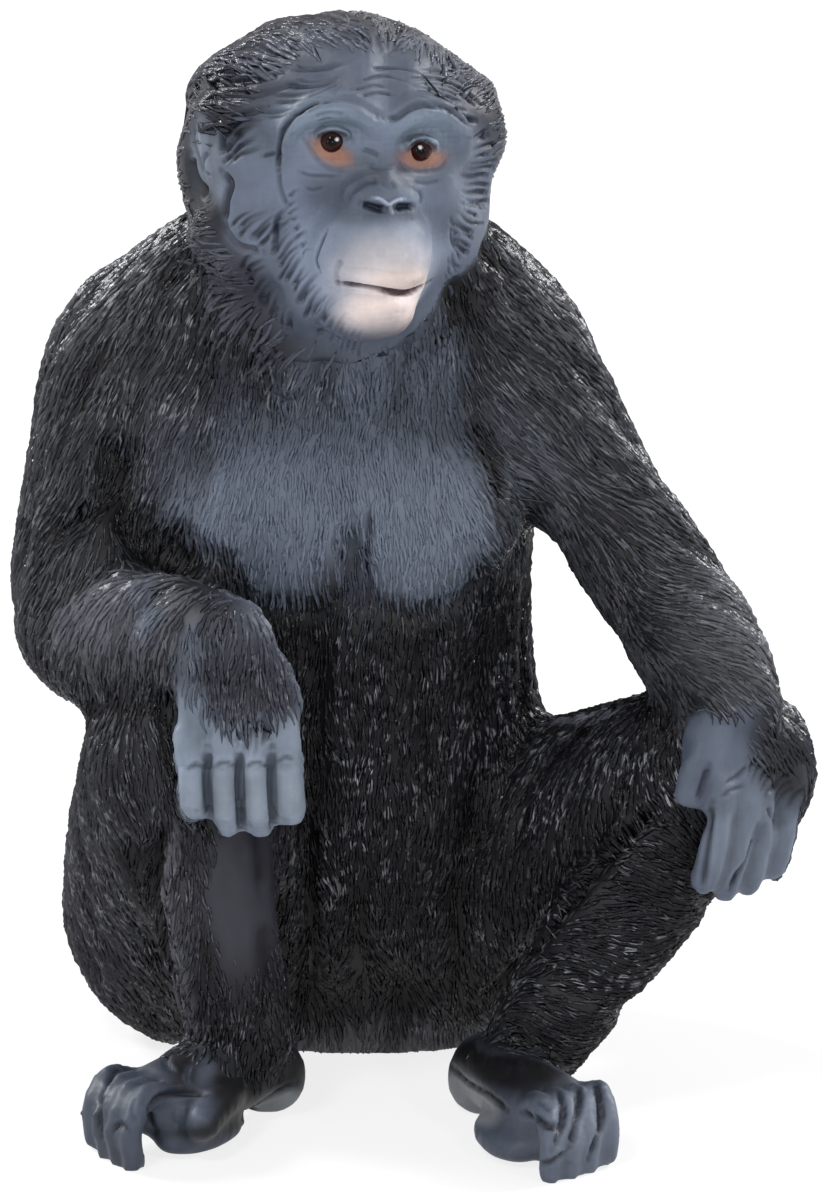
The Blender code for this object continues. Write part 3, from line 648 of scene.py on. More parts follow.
RIGHT_CLEFTS = ((208, 822), (240, 838), (272, 836))
STROKES = (
    # The mouth, between the swell of the lips.
    Stroke(((337, 283), (357, 285), (375, 288), (402, 293), (420, 288), (431, 281)), 0.24, 0.36,
           0.95, HEAD, (62, 42, 54)),
    Stroke(((340, 275), (375, 279), (402, 282), (426, 277)), 0.6, -0.1, 0, HEAD),
    Stroke(((345, 296), (375, 299), (402, 302), (422, 298)), 0.6, -0.1, 0, HEAD),
    # The nostrils and the rim of the nose.
    Stroke(((361, 204), (369, 206), (377, 208), (385, 210)), 0.3, 0.5, 1.0, HEAD, (26, 30, 42)),
    Stroke(((396, 208), (404, 207), (415, 207)), 0.3, 0.5, 1.0, HEAD, (26, 30, 42)),
    # A pale raised Y under the tip of the nose: a painted highlight.
    Stroke(((372, 197.5), (380, 199), (388, 204), (397, 200), (405, 199)), 0.12, -0.14, 0.8, HEAD,
           (150, 160, 180)),
    Stroke(((390, 204), (392, 213)), 0.16, -0.08, 0.45, HEAD, (132, 142, 160)),
    # Soft dark lines round the wings of the nose: painted shade.
    Stroke(((345, 202), (352, 190), (366, 182), (380, 180)), 0.4, 0.14, 0.35, HEAD, SOFT_LINE),
    Stroke(((420, 206), (420, 194), (412, 186)), 0.3, 0.14, 0.3, HEAD, SOFT_LINE),
    Stroke(((380, 183), (388, 186), (396, 184)), 0.3, 0.1, 0.4, HEAD, SOFT_LINE),
    # The brow, raised and then lined.
    Stroke(((280, 150), (284, 124), (296, 107), (310, 97), (330, 92), (352, 94)), 0.6, -0.12, 0,
           HEAD),
    Stroke(((400, 106), (414, 99), (432, 98), (450, 106), (462, 118)), 0.6, -0.12, 0, HEAD),
    # The dark line under the brow ridge: painted shade where the brow overhangs the eye.
    Stroke(((278, 170), (278, 150), (281, 136), (287, 124), (297, 113), (311, 104), (324, 101)),
           0.24, 0.4, 0.85, HEAD, (38, 42, 54)),
    Stroke(((318, 102), (335, 99), (350, 99), (362, 104), (374, 112), (388, 119)), 0.5, 0.22, 0.4,
           HEAD, SOFT_LINE),
    Stroke(((386, 119), (396, 117), (404, 111), (414, 106), (426, 104), (440, 107)), 0.34, 0.3,
           0.6, HEAD, (48, 54, 67)),
    Stroke(((476, 121), (466, 117), (456, 107), (446, 92), (432, 80)), 0.22, 0.3, 0.8, HEAD,
           INK_LINE, pointed=True),
    Stroke(((313, 117), (330, 113), (346, 115)), 0.2, 0.08, 0.35, HEAD, SOFT_LINE),
    Stroke(((318, 121), (332, 118)), 0.16, 0.06, 0.3, HEAD, SOFT_LINE),
    # The edges of the lids and the rings round the eyes.
    Stroke(((317, 140), (324, 135), (333, 133.5), (342, 135.5), (347, 141)), 0.13, 0.0, 0.95, HEAD,
           (24, 20, 26)),
    Stroke(((406, 148), (412, 144.5), (420, 143), (429, 145), (435, 150)), 0.13, 0.0, 0.95, HEAD,
           (24, 20, 26)),
    Stroke(((315, 138.5), (323, 132.5), (333, 130.5), (343, 133), (349, 140)), 0.36, -0.42, 0.3,
           HEAD, (82, 90, 104)),
    Stroke(((403, 147), (411, 142), (420, 140), (430, 142.5), (438, 148.5)), 0.36, -0.42, 0.3,
           HEAD, (82, 90, 104)),
    Stroke(((302, 134), (309, 147), (318, 160), (332, 169), (350, 168)), 0.22, 0.1, 0.4, HEAD,
           (88, 92, 106)),
    Stroke(((397, 158), (408, 169), (424, 172), (440, 168), (449, 156)), 0.22, 0.1, 0.4, HEAD,
           (84, 86, 98)),
    # The wrinkles of cheeks, nose and forehead.
    Stroke(((298, 170), (312, 175), (338, 176)), 0.16, 0.1, 0.25, HEAD, SOFT_LINE),
    Stroke(((306, 188), (314, 190), (324, 187)), 0.16, 0.08, 0.2, HEAD, SOFT_LINE),
    Stroke(((362, 149), (370, 151), (380, 156)), 0.2, 0.12, 0.45, HEAD, SOFT_LINE),
    Stroke(((368, 164), (380, 168), (394, 166)), 0.24, 0.08, 0.3, HEAD, SOFT_LINE),
    Stroke(((414, 182), (426, 184), (440, 181)), 0.2, 0.08, 0.3, HEAD, SOFT_LINE),
    Stroke(((327, 230), (320, 246), (316, 260), (320, 272)), 0.17, 0.22, 0.5, HEAD, (48, 54, 68)),
    Stroke(((342, 258), (336, 272), (338, 290)), 0.3, 0.1, 0.2, HEAD, SOFT_LINE),
    Stroke(((360, 96), (378, 93), (394, 95)), 0.15, 0.12, 0.3, HEAD, SOFT_LINE),
    Stroke(((352, 90), (372, 86), (386, 87)), 0.15, 0.1, 0.3, HEAD, SOFT_LINE),
    Stroke(((362, 80), (384, 76), (402, 80), (418, 88)), 0.15, 0.14, 0.35, HEAD, SOFT_LINE,
           pointed=True),
    Stroke(((374, 69), (398, 68), (420, 74), (438, 86)), 0.16, 0.16, 0.45, HEAD, SOFT_LINE,
           pointed=True),
    # The ear and the crease behind it; the crease and the hollows round the ear are painted dark:
    # painted shade.
    Stroke(((190, 156), (192, 172), (198, 185), (208, 196)), 0.6, 0.6, 0.9, HEAD, (20, 21, 26)),
    Stroke(((208, 150), (205, 164), (210, 178)), 0.26, 0.2, 0.5, HEAD, SOFT_LINE),
    Stroke(((216, 118), (222, 134), (221, 152)), 0.34, 0.34, 0.7, HEAD, (26, 28, 35)),
    Stroke(((222, 172), (230, 184), (226, 200), (224, 222)), 0.36, 0.4, 0.7, HEAD, (30, 32, 40)),
    Stroke(((222, 220), (227, 234), (240, 247), (262, 252)), 0.4, 0.34, 0.3, HEAD, (40, 42, 50)),
    Stroke(((196, 124), (194, 140), (199, 158), (206, 176)), 0.24, 0.14, 0.35, HEAD, SOFT_LINE),
    Stroke(((203, 126), (204, 148), (209, 176)), 0.5, -0.2, 0.25, HEAD, (122, 130, 144)),
    Stroke(((279, 170), (280, 188), (288, 208)), 0.24, 0.16, 0.4, HEAD, SOFT_LINE),
    Stroke(((262, 156), (275, 153), (282, 156)), 0.2, 0.16, 0.5, HEAD, INK_LINE),
    # The right hand: fingers, clefts, the lines in them, knuckles.
    *(Stroke(((x, 764), (x, 785), (x + 1, 806), (x + 2, y)), 0.95, -0.2, 0, RIGHT_HAND)
      for x, y in ((191, 812), (223, 828), (256, 830), (287, 822))),
    *(Stroke(((x, 748), (x - 1, 778), (x, 804), (x + 2, y)), 0.42, 0.3, 0, RIGHT_HAND)
      for x, y in RIGHT_CLEFTS),
    *(Stroke(((x, 756), (x - 1, 778), (x, 804), (x + 2, y)), 0.16, 0.26, 0.75, RIGHT_HAND,
             (56, 61, 76)) for x, y in RIGHT_CLEFTS),
    *(Stroke(path, 0.2, 0.1, 0.4, RIGHT_HAND, SOFT_LINE)
      for path in (((186, 770), (196, 764), (206, 768)), ((212, 768), (224, 762), (238, 768)),
                   ((244, 768), (256, 762), (270, 768)), ((276, 762), (286, 757), (294, 760)))),
    # The left hand.
    Stroke(((709, 766), (704, 782), (698, 800)), 0.3, 0.3, 0.5, LEFT_HAND, (40, 43, 58)),
    Stroke(((726, 784), (738, 776), (748, 766)), 0.24, 0.2, 0.6, LEFT_HAND, SOFT_LINE),
    Stroke(((722, 796), (732, 790), (742, 786)), 0.2, 0.14, 0.5, LEFT_HAND, SOFT_LINE),
    Stroke(((751, 842), (745, 864), (737, 876), (731, 890)), 0.26, 0.4, 0.9, LEFT_HAND,
           (24, 26, 38)),
    Stroke(((768, 808), (773, 820)), 0.2, 0.2, 0.7, LEFT_HAND, SOFT_LINE),
    Stroke(((713, 802), (708, 840), (702, 890)), 0.3, 0.2, 0.7, LEFT_HAND, (30, 32, 42)),
    # The toes of both feet.
    Stroke(((118, 1070), (105, 1086), (98, 1110), (101, 1136)), 0.34, 0.4, 0.8, RIGHT_FOOT,
           (34, 37, 47)),
    Stroke(((208, 1095), (188, 1092), (170, 1094), (155, 1102), (149, 1118), (156, 1132)), 0.34,
           0.4, 0.85, RIGHT_FOOT, (28, 30, 38)),
    Stroke(((136, 1096), (132, 1110), (136, 1122)), 0.2, 0.12, 0.5, RIGHT_FOOT, SOFT_LINE),
    Stroke(((112, 1132), (120, 1124), (128, 1132)), 0.26, 0.2, 0.8, RIGHT_FOOT, (34, 36, 44)),
    Stroke(((172, 1048), (166, 1062), (174, 1072)), 0.24, 0.2, 0.5, RIGHT_FOOT, SOFT_LINE),
    Stroke(((190, 1062), (186, 1078), (192, 1088)), 0.24, 0.2, 0.5, RIGHT_FOOT, SOFT_LINE),
    Stroke(((577, 1084), (579, 1104), (576, 1124), (570, 1146)), 0.34, 0.4, 0.8, LEFT_FOOT,
           (34, 36, 46)),
    Stroke(((594, 1080), (601, 1106), (599, 1134), (590, 1158)), 0.34, 0.4, 0.85, LEFT_FOOT,
           (30, 32, 42)),
    Stroke(((556, 1086), (563, 1108), (560, 1132), (552, 1150)), 0.28, 0.26, 0.6, LEFT_FOOT,
           (40, 43, 54)),
    Stroke(((521, 1112), (535, 1118), (548, 1126), (560, 1126)), 0.3, 0.36, 0.85, LEFT_FOOT,
           (28, 30, 38)),
    Stroke(((535, 1163), (550, 1162), (566, 1152)), 0.24, 0.2, 0.7, LEFT_FOOT, (34, 36, 44)),
    Stroke(((536, 1100), (544, 1106), (550, 1112)), 0.22, 0.14, 0.5, LEFT_FOOT, SOFT_LINE),
    Stroke(((450, 1066), (466, 1082), (486, 1094), (508, 1110)), 0.3, 0.3, 0.9, LEFT_FOOT, BLACK),
    Stroke(((296, 1084), (272, 1096), (252, 1108), (240, 1122)), 0.3, 0.3, 0.9, RIGHT_FOOT, BLACK),
    # The trenches between the limbs and the body, carved and painted near black: painted shade. The
    # pale raised lips beside two of them are painted highlights.
    Stroke(((166, 812), (158, 846), (156, 880), (161, 924), (172, 972), (184, 1024)), 0.9, 0.9,
           1.0, RIGHT_LEG, CREVICE_SHADE),
    Stroke(((178, 815), (170, 848), (167, 884), (172, 928), (182, 975), (192, 1020)), 0.5, -0.3,
           0.8, RIGHT_LEG, (82, 82, 89)),
    Stroke(((124, 424), (121, 452), (124, 488), (139, 528), (170, 556), (220, 584)), 2.1, 1.3, 1.0,
           ARM_PIT, CREVICE_SHADE),
    Stroke(((118, 470), (98, 500), (70, 522), (48, 536)), 0.9, 0.6, 1.0,
           (Part.RIGHT_UPPER_ARM, Part.RIGHT_FOREARM), (9, 9, 12)),
    Stroke(((474, 420), (486, 445), (496, 474), (504, 504)), 1.0, 0.8, 1.0,
           (Part.TORSO, Part.LEFT_UPPER_ARM), (9, 9, 13)),
    Stroke(((308, 800), (307, 860), (310, 930), (304, 1010), (300, 1034)), 0.8, 0.7, 1.0,
           (Part.RIGHT_SHIN, Part.RIGHT_THIGH, Part.TORSO), CREVICE_SHADE),
    Stroke(((676, 792), (660, 803), (625, 836), (578, 893), (540, 942), (510, 972), (480, 1000)),
           0.6, 0.6, 1.0, (Part.LEFT_THIGH, Part.LEFT_SHIN), CREVICE_SHADE),
    Stroke(((664, 782), (650, 794), (615, 826), (568, 883), (530, 932), (500, 962)), 0.35, -0.2,
           0.6, LEFT_THIGH, (74, 74, 80)),
    # A pale line along the top edge of the left thigh: a painted rim highlight.
    Stroke(((556, 722), (580, 716), (610, 710), (640, 702)), 0.34, 0.0, 0.55, LEFT_THIGH,
           (128, 128, 146)),
    # The furrows of the breast; the dark paint down the cleft is painted shade.
    Stroke(((342, 520), (339, 545), (346, 570), (352, 598)), 0.24, 0.3, 0.75, TORSO, (40, 44, 57)),
    Stroke(((366, 505), (370, 530), (366, 552), (372, 590), (384, 612)), 0.24, 0.3, 0.75, TORSO,
           (40, 44, 57)),
    Stroke(((356, 520), (353, 548), (360, 580), (364, 620)), 0.9, 0.5, 0.3, TORSO, (44, 48, 60)),
    Stroke(((190, 556), (208, 580), (240, 598), (300, 608), (340, 598)), 1.0, 0.4, 0, TORSO),
    Stroke(((376, 604), (420, 612), (462, 596), (488, 560)), 1.0, 0.4, 0, TORSO),
)


class Graph:
    """A node tree in the making."""

    def __init__(self, tree: bpy.types.NodeTree) -> None:
        """Start on an empty tree.

        Args:
            tree: The tree to lay nodes in.
        """
        self.tree = tree
        self.material: bpy.types.Material | None = None
        self.output: bpy.types.Node | None = None
        self.shader: bpy.types.Node | None = None
        tree.nodes.clear()

    @classmethod
    def of_material(cls, name: str) -> "Graph":
        """Start a new material.

        Args:
            name: The material's name.

        Returns:
            The graph, with its material and output at hand.
        """
        material = bpy.data.materials.new(name)
        material.use_nodes = True
        graph = cls(material.node_tree)
        graph.material = material
        graph.output = graph.add("ShaderNodeOutputMaterial")
        return graph

    def add(self, kind: str, inputs: dict[str | int, object] | None = None,
            **settings: object) -> bpy.types.Node:
        """Add one node.

        Args:
            kind: The node's type.
            inputs: Values or output sockets, by input name or number.
            **settings: The node's own settings.

        Returns:
            The node.
        """
        node = self.tree.nodes.new(kind)
        for key, value in settings.items():
            setattr(node, key, value)
        for key, value in (inputs or {}).items():
            if isinstance(value, Socket):
                self.tree.links.new(value, node.inputs[key])
            else:
                node.inputs[key].default_value = value
        return node

    def painted(self, name: str, output: str = "Fac") -> Socket:
        """Read what the mesh itself carries, for a shader.

        Args:
            name: The attribute's name.
            output: Whether its number or its colour is read.

        Returns:
            The value's socket.
        """
        return self.add("ShaderNodeAttribute", attribute_name=name).outputs[output]

    def named(self, name: str, kind: str = "FLOAT") -> Socket:
        """Read what the mesh itself carries, for a geometry tree.

        Args:
            name: The attribute's name.
            kind: Its data type.

        Returns:
            The value's socket.
        """
        return self.add("GeometryNodeInputNamedAttribute", {"Name": name},
                        data_type=kind).outputs[0]

    def noise(self, scale: float, detail: float, roughness: float = 0.5) -> Socket:
        """Add a noise that stays put on the object.

        Args:
            scale: The noise's scale.
            detail: How many finer layers it has.
            roughness: How strong the finer layers are.

        Returns:
            The noise's value.
        """
        place = self.add("ShaderNodeTexCoord")
        return self.add("ShaderNodeTexNoise", {
            "Vector": place.outputs["Object"], "Scale": scale, "Detail": detail,
            "Roughness": roughness}).outputs["Fac"]

    def ramp(self, value: Socket, source: Span, target: Span = (0.0, 1.0)) -> Socket:
        """Stretch one span of a value over another, and hold it at the ends.

        Args:
            value: The value.
            source: The span it is read in.
            target: The span it is given back in.

        Returns:
            The new value's socket.
        """
        return self.add("ShaderNodeMapRange", {
            "Value": value, "From Min": source[0], "From Max": source[1],
            "To Min": target[0], "To Max": target[1]}).outputs["Result"]

    def maths(self, operation: str, *values: Socket | float) -> Socket:
        """Work out one number from others.

        Args:
            operation: What is done.
            *values: Numbers or sockets, in order.

        Returns:
            The result's socket.
        """
        return self.add("ShaderNodeMath", dict(enumerate(values)),
                        operation=operation).outputs[0]

    def bump(self, height: Socket, strength: float, distance: float,
             under: Socket | None = None) -> Socket:
        """Roughen the look of a surface.

        Args:
            height: The pattern that is pressed in.
            strength: How much of it shows.
            distance: How deep it is, in metres.
            under: A coarser bump that this one lies on.

        Returns:
            The normal's socket.
        """
        inputs = {"Height": height, "Strength": strength, "Distance": distance}
        if under is not None:
            inputs["Normal"] = under
        return self.add("ShaderNodeBump", inputs).outputs["Normal"]

    def mix(self, blend: str, share: Socket | float, first: Socket | tuple[float, ...],
            second: Socket | tuple[float, ...]) -> Socket:
        """Mix two colours.

        Args:
            blend: How they mix.
            share: How much of the second one.
            first: A colour or a socket.
            second: A colour or a socket.

        Returns:
            The mixed colour's socket.
        """
        return self.add("ShaderNodeMix", {0: share, 6: first, 7: second},
                        data_type="RGBA", blend_type=blend).outputs[2]

    def finish(self, colour: Socket | tuple[float, ...], gloss: Socket | float,
               normal: Socket | None, level: float) -> bpy.types.Material:
        """Close a material with a Principled shader.

        Args:
            colour: A colour or a socket.
            gloss: The roughness.
            normal: The bumped normal, if there is one.
            level: How strongly it reflects.

        Returns:
            The material.
        """
        inputs = {"Base Color": colour, "Roughness": gloss, "Specular IOR Level": level}
        if normal is not None:
            inputs["Normal"] = normal
        self.shader = self.add("ShaderNodeBsdfPrincipled", inputs)
        self.tree.links.new(self.shader.outputs[0], self.output.inputs["Surface"])
        return self.material

    def seen_rays(self) -> Socket:
        """Tell rays that show the backdrop from those that light the figure.

        Returns:
            A socket that is 1 for camera, glossy and transmission rays.
        """
        rays = self.add("ShaderNodeLightPath").outputs
        shown = self.maths("MAXIMUM", rays["Is Camera Ray"], rays["Is Glossy Ray"])
        return self.maths("MAXIMUM", shown, rays["Is Transmission Ray"])


@dataclass(frozen=True)
class SkinPaint:
    """Acrylic paint over cast resin: soft airbrushed colour with a dull gloss."""

    name: str = "figure_paint"
    gloss: Span = (0.42, 0.62)
    level: float = 0.22
    mottle_scale: float = 420.0
    mottle_read: Span = (0.3, 0.7)
    mottle_shade: Span = (0.82, 1.16)
    shade_under_fur: float = 0.82
    grain_scale: float = 2600.0
    grain_strength: float = 0.5
    grain_depth: float = 0.00004

    def material(self) -> bpy.types.Material:
        """Build the paint's material.

        Returns:
            The material.
        """
        graph = Graph.of_material(self.name)
        mottle = graph.noise(self.mottle_scale, 4.0, 0.6)
        shade = graph.ramp(mottle, self.mottle_read, self.mottle_shade)
        tint = graph.mix("MULTIPLY", 1.0, graph.painted("paint", "Color"), shade)
        # The skin is darkened wherever fur grows: painted shade between the locks.
        under = graph.ramp(graph.painted("fur"), (0.0, 1.0), (1.0, self.shade_under_fur))
        shaded_tint = graph.mix("MULTIPLY", 1.0, tint, under)
        grain = graph.bump(graph.noise(self.grain_scale, 3.0), self.grain_strength,
                           self.grain_depth)
        gloss = graph.ramp(mottle, self.mottle_read, self.gloss)
        return graph.finish(shaded_tint, gloss, grain, self.level)


@dataclass(frozen=True)
class FurPaint:
    """Glossy black hair, dry-brushed along the ridges of its locks, with light grey painted glints.
    """

    name: str = "fur_paint"
    gloss: Span = (0.13, 0.28)
    gloss_read: Span = (0.35, 0.65)
    gloss_scale: float = 900.0
    dulling: float = 1.6
    level: float = 0.14
    # Lock crests are painted lighter and their edges and roots darker: painted light and shade.
    ridge_painted_shade: Span = (0.5, 1.14)
    dry_brush: tuple[float, ...] = (0.13, 0.135, 0.155, 1.0)
    # The light grey of the painted glints, and where on the locks they fall.
    glint_colour: tuple[float, ...] = (0.33, 0.335, 0.37, 1.0)
    glint_ridge: Span = (0.66, 0.98)
    glint_tone: Span = (0.1, 1.0)
    glint_tuft: Span = (0.4, 0.66)
    glint_dot: Span = (0.5, 0.62)
    glint_tuft_scale: float = 260.0
    glint_dot_scale: float = 1500.0
    nick_scale: float = 3400.0
    nick_depth: float = 0.00008
    wave_scale: float = 1000.0
    wave_depth: float = 0.00045

    def material(self) -> bpy.types.Material:
        """Build the paint's material.

        Returns:
            The material.
        """
        graph = Graph.of_material(self.name)
        paint = graph.painted("paint", "Color")
        ridge, tone = graph.painted("ridge"), graph.painted("tone")
        # Each lock's crest is painted lighter and its edges and root darker: painted light and
        # shade.
        shade = graph.ramp(ridge, (0.0, 1.0), self.ridge_painted_shade)
        body = graph.mix("MULTIPLY", 1.0, paint, shade)
        patchy = graph.maths("MULTIPLY", graph.maths("MULTIPLY", ridge, graph.painted("dry")),
                             tone)
        brushed = graph.mix("MIX", patchy, body, self.dry_brush)
        # Light grey flecks on the lock crests: painted glints standing in for highlights.
        glint_share = graph.painted("shine")
        for source, read in ((ridge, self.glint_ridge), (tone, self.glint_tone),
                             (graph.noise(self.glint_tuft_scale, 2.0), self.glint_tuft),
                             (graph.noise(self.glint_dot_scale, 1.0), self.glint_dot)):
            glint_share = graph.maths("MULTIPLY", glint_share, graph.ramp(source, read))
        glinted = graph.mix("MIX", glint_share, brushed, self.glint_colour)
        sway = graph.bump(graph.noise(self.wave_scale, 1.0), 1.0, self.wave_depth)
        nicks = graph.bump(graph.noise(self.nick_scale, 2.0), 1.0, self.nick_depth, sway)
        gloss = graph.ramp(graph.noise(self.gloss_scale, 3.0), self.gloss_read, self.gloss)
        green = graph.add("ShaderNodeSeparateColor", {0: paint}).outputs[1]
        dull = graph.maths("MULTIPLY_ADD", green, self.dulling, gloss)
        return graph.finish(glinted, dull, nicks, self.level)


@dataclass(frozen=True)
class EyeGloss:
    """Clear gloss over a dark brown eye, with a pale painted catch-light standing in for a
    reflection.
    """

    name: str = "eye_gloss"
    iris: Colour = (36, 14, 9)
    pupil: Colour = (2, 2, 2)
    spark: Colour = (176, 180, 190)
    roughness: float = 0.04
    level: float = 0.12

    def material(self) -> bpy.types.Material:
        """Build the gloss from the ball's own rings.

        Returns:
            The material.
        """
        graph = Graph.of_material(self.name)
        colour = graph.mix("MIX", graph.painted("iris"), opaque(self.pupil), opaque(self.iris))
        lit = graph.mix("MIX", graph.painted("spark"), colour, opaque(self.spark))
        return graph.finish(lit, self.roughness, None, self.level)


@dataclass(frozen=True)
class PaleFloor:
    """A plain pale floor that the camera sees close to white."""

    name: str = "pale_floor"
    colour: Colour = (240, 240, 242)
    roughness: float = 0.9
    level: float = 0.5
    lift: float = 0.8

    def material(self) -> bpy.types.Material:
        """Build the floor's material, which keeps the figure's shadow.

        Returns:
            The material.
        """
        graph = Graph.of_material(self.name)
        material = graph.finish(opaque(self.colour), self.roughness, None, self.level)
        share = graph.maths("MULTIPLY", graph.seen_rays(), self.lift)
        glow = graph.add("ShaderNodeEmission", {"Color": WHITE, "Strength": 1.0})
        blend = graph.add("ShaderNodeMixShader", {
            0: share, 1: graph.shader.outputs[0], 2: glow.outputs[0]})
        graph.tree.links.new(blend.outputs[0], graph.output.inputs["Surface"])
        return material


def keep(name: str, mesh: bpy.types.Mesh, material: bpy.types.Material) -> bpy.types.Object:
    """Put a mesh in the scene as an object at the origin.

    Args:
        name: The piece's name.
        mesh: Its mesh, in metres, in the frame.
        material: Its only material.

    Returns:
        The object.
    """
    mesh.name = name
    mesh.materials.clear()
    mesh.materials.append(material)
    piece = bpy.data.objects.new(name, mesh)
    bpy.context.scene.collection.objects.link(piece)
    return piece


def evaluated(piece: bpy.types.Object) -> bpy.types.Mesh:
    """Take a plain mesh of an object with its modifiers applied.

    Args:
        piece: The object to evaluate.

    Returns:
        A new mesh.
    """
    graph = bpy.context.evaluated_depsgraph_get()
    graph.update()
    return bpy.data.meshes.new_from_object(piece.evaluated_get(graph), depsgraph=graph)


# How far one pass moves a point towards its neighbours' middle, and then back out.
SMOOTH = 0.5
SWELL = -0.53


class Surface:
    """A mesh held as arrays while it is smoothed, carved and painted."""

    def __init__(self, mesh: bpy.types.Mesh) -> None:
        """Read a mesh.

        Args:
            mesh: The mesh to work on.
        """
        self.mesh = mesh
        count = len(mesh.vertices)
        self.points = np.empty(count * 3)
        mesh.vertices.foreach_get("co", self.points)
        self.points = self.points.reshape(count, 3)
        self.edges = np.empty(len(mesh.edges) * 2, int)
        mesh.edges.foreach_get("vertices", self.edges)
        self.edges = self.edges.reshape(-1, 2)
        self.degree = np.maximum(np.bincount(self.edges.ravel(), minlength=count), 1)

    def mean(self, values: np.ndarray) -> np.ndarray:
        """Average values over each vertex's neighbours.

        Args:
            values: One row, or one number, for each vertex.

        Returns:
            The averages, in the same shape.
        """
        rows = values.reshape(len(values), -1)
        first, second = self.edges[:, 0], self.edges[:, 1]
        total = np.empty_like(rows)
        for axis in range(rows.shape[1]):
            column = rows[:, axis]
            total[:, axis] = (np.bincount(first, column[second], len(rows))
                              + np.bincount(second, column[first], len(rows)))
        return (total / self.degree[:, None]).reshape(values.shape)

    def relax(self, passes: int, share: np.ndarray | float = 1.0) -> None:
        """Smooth the points without shrinking the form.

        Args:
            passes: How many times.
            share: How far each vertex takes part.
        """
        weight = np.broadcast_to(np.asarray(share, float), len(self.points))[:, None]
        for _ in range(passes):
            for factor in (SMOOTH, SWELL):
                self.points += weight * factor * (self.mean(self.points) - self.points)

    def blur(self, values: np.ndarray, passes: int) -> np.ndarray:
        """Soften values over the surface.

        Args:
            values: One row, or one number, for each vertex.
            passes: How many times.

        Returns:
            The softened values.
        """
        for _ in range(passes):
            values = (1 - SMOOTH) * values + SMOOTH * self.mean(values)
        return values

    def write(self) -> None:
        """Put the points back in the mesh."""
        self.mesh.vertices.foreach_set("co", self.points.ravel())
        self.mesh.update()

    def normals(self) -> np.ndarray:
        """Work out which way the surface faces.

        Returns:
            The unit normal of each vertex.
        """
        self.write()
        out = np.empty(len(self.points) * 3)
        self.mesh.vertex_normals.foreach_get("vector", out)
        return out.reshape(-1, 3)

    def store(self, name: str, kind: str, values: np.ndarray) -> None:
        """Save values as an attribute of the vertices.

        Args:
            name: The attribute's name.
            kind: Its data type.
            values: One row, or one number, for each vertex.
        """
        old = self.mesh.attributes.get(name)
        if old is not None:
            self.mesh.attributes.remove(old)
        layer = self.mesh.attributes.new(name, kind, "POINT")
        socket = {"FLOAT_COLOR": "color", "FLOAT_VECTOR": "vector"}.get(kind, "value")
        layer.data.foreach_set(socket, np.ascontiguousarray(values).ravel())


def nearest_part(points: np.ndarray) -> np.ndarray:
    """Tell which part of the body each point belongs to.

    Args:
        points: Points in metres, one per row.

    Returns:
        The part's number for each.
    """
    gaps = np.stack([bone.distance(points)[0] for bone in BONES])
    owner = np.array([int(bone.part) for bone in BONES])
    return owner[gaps.argmin(0)]


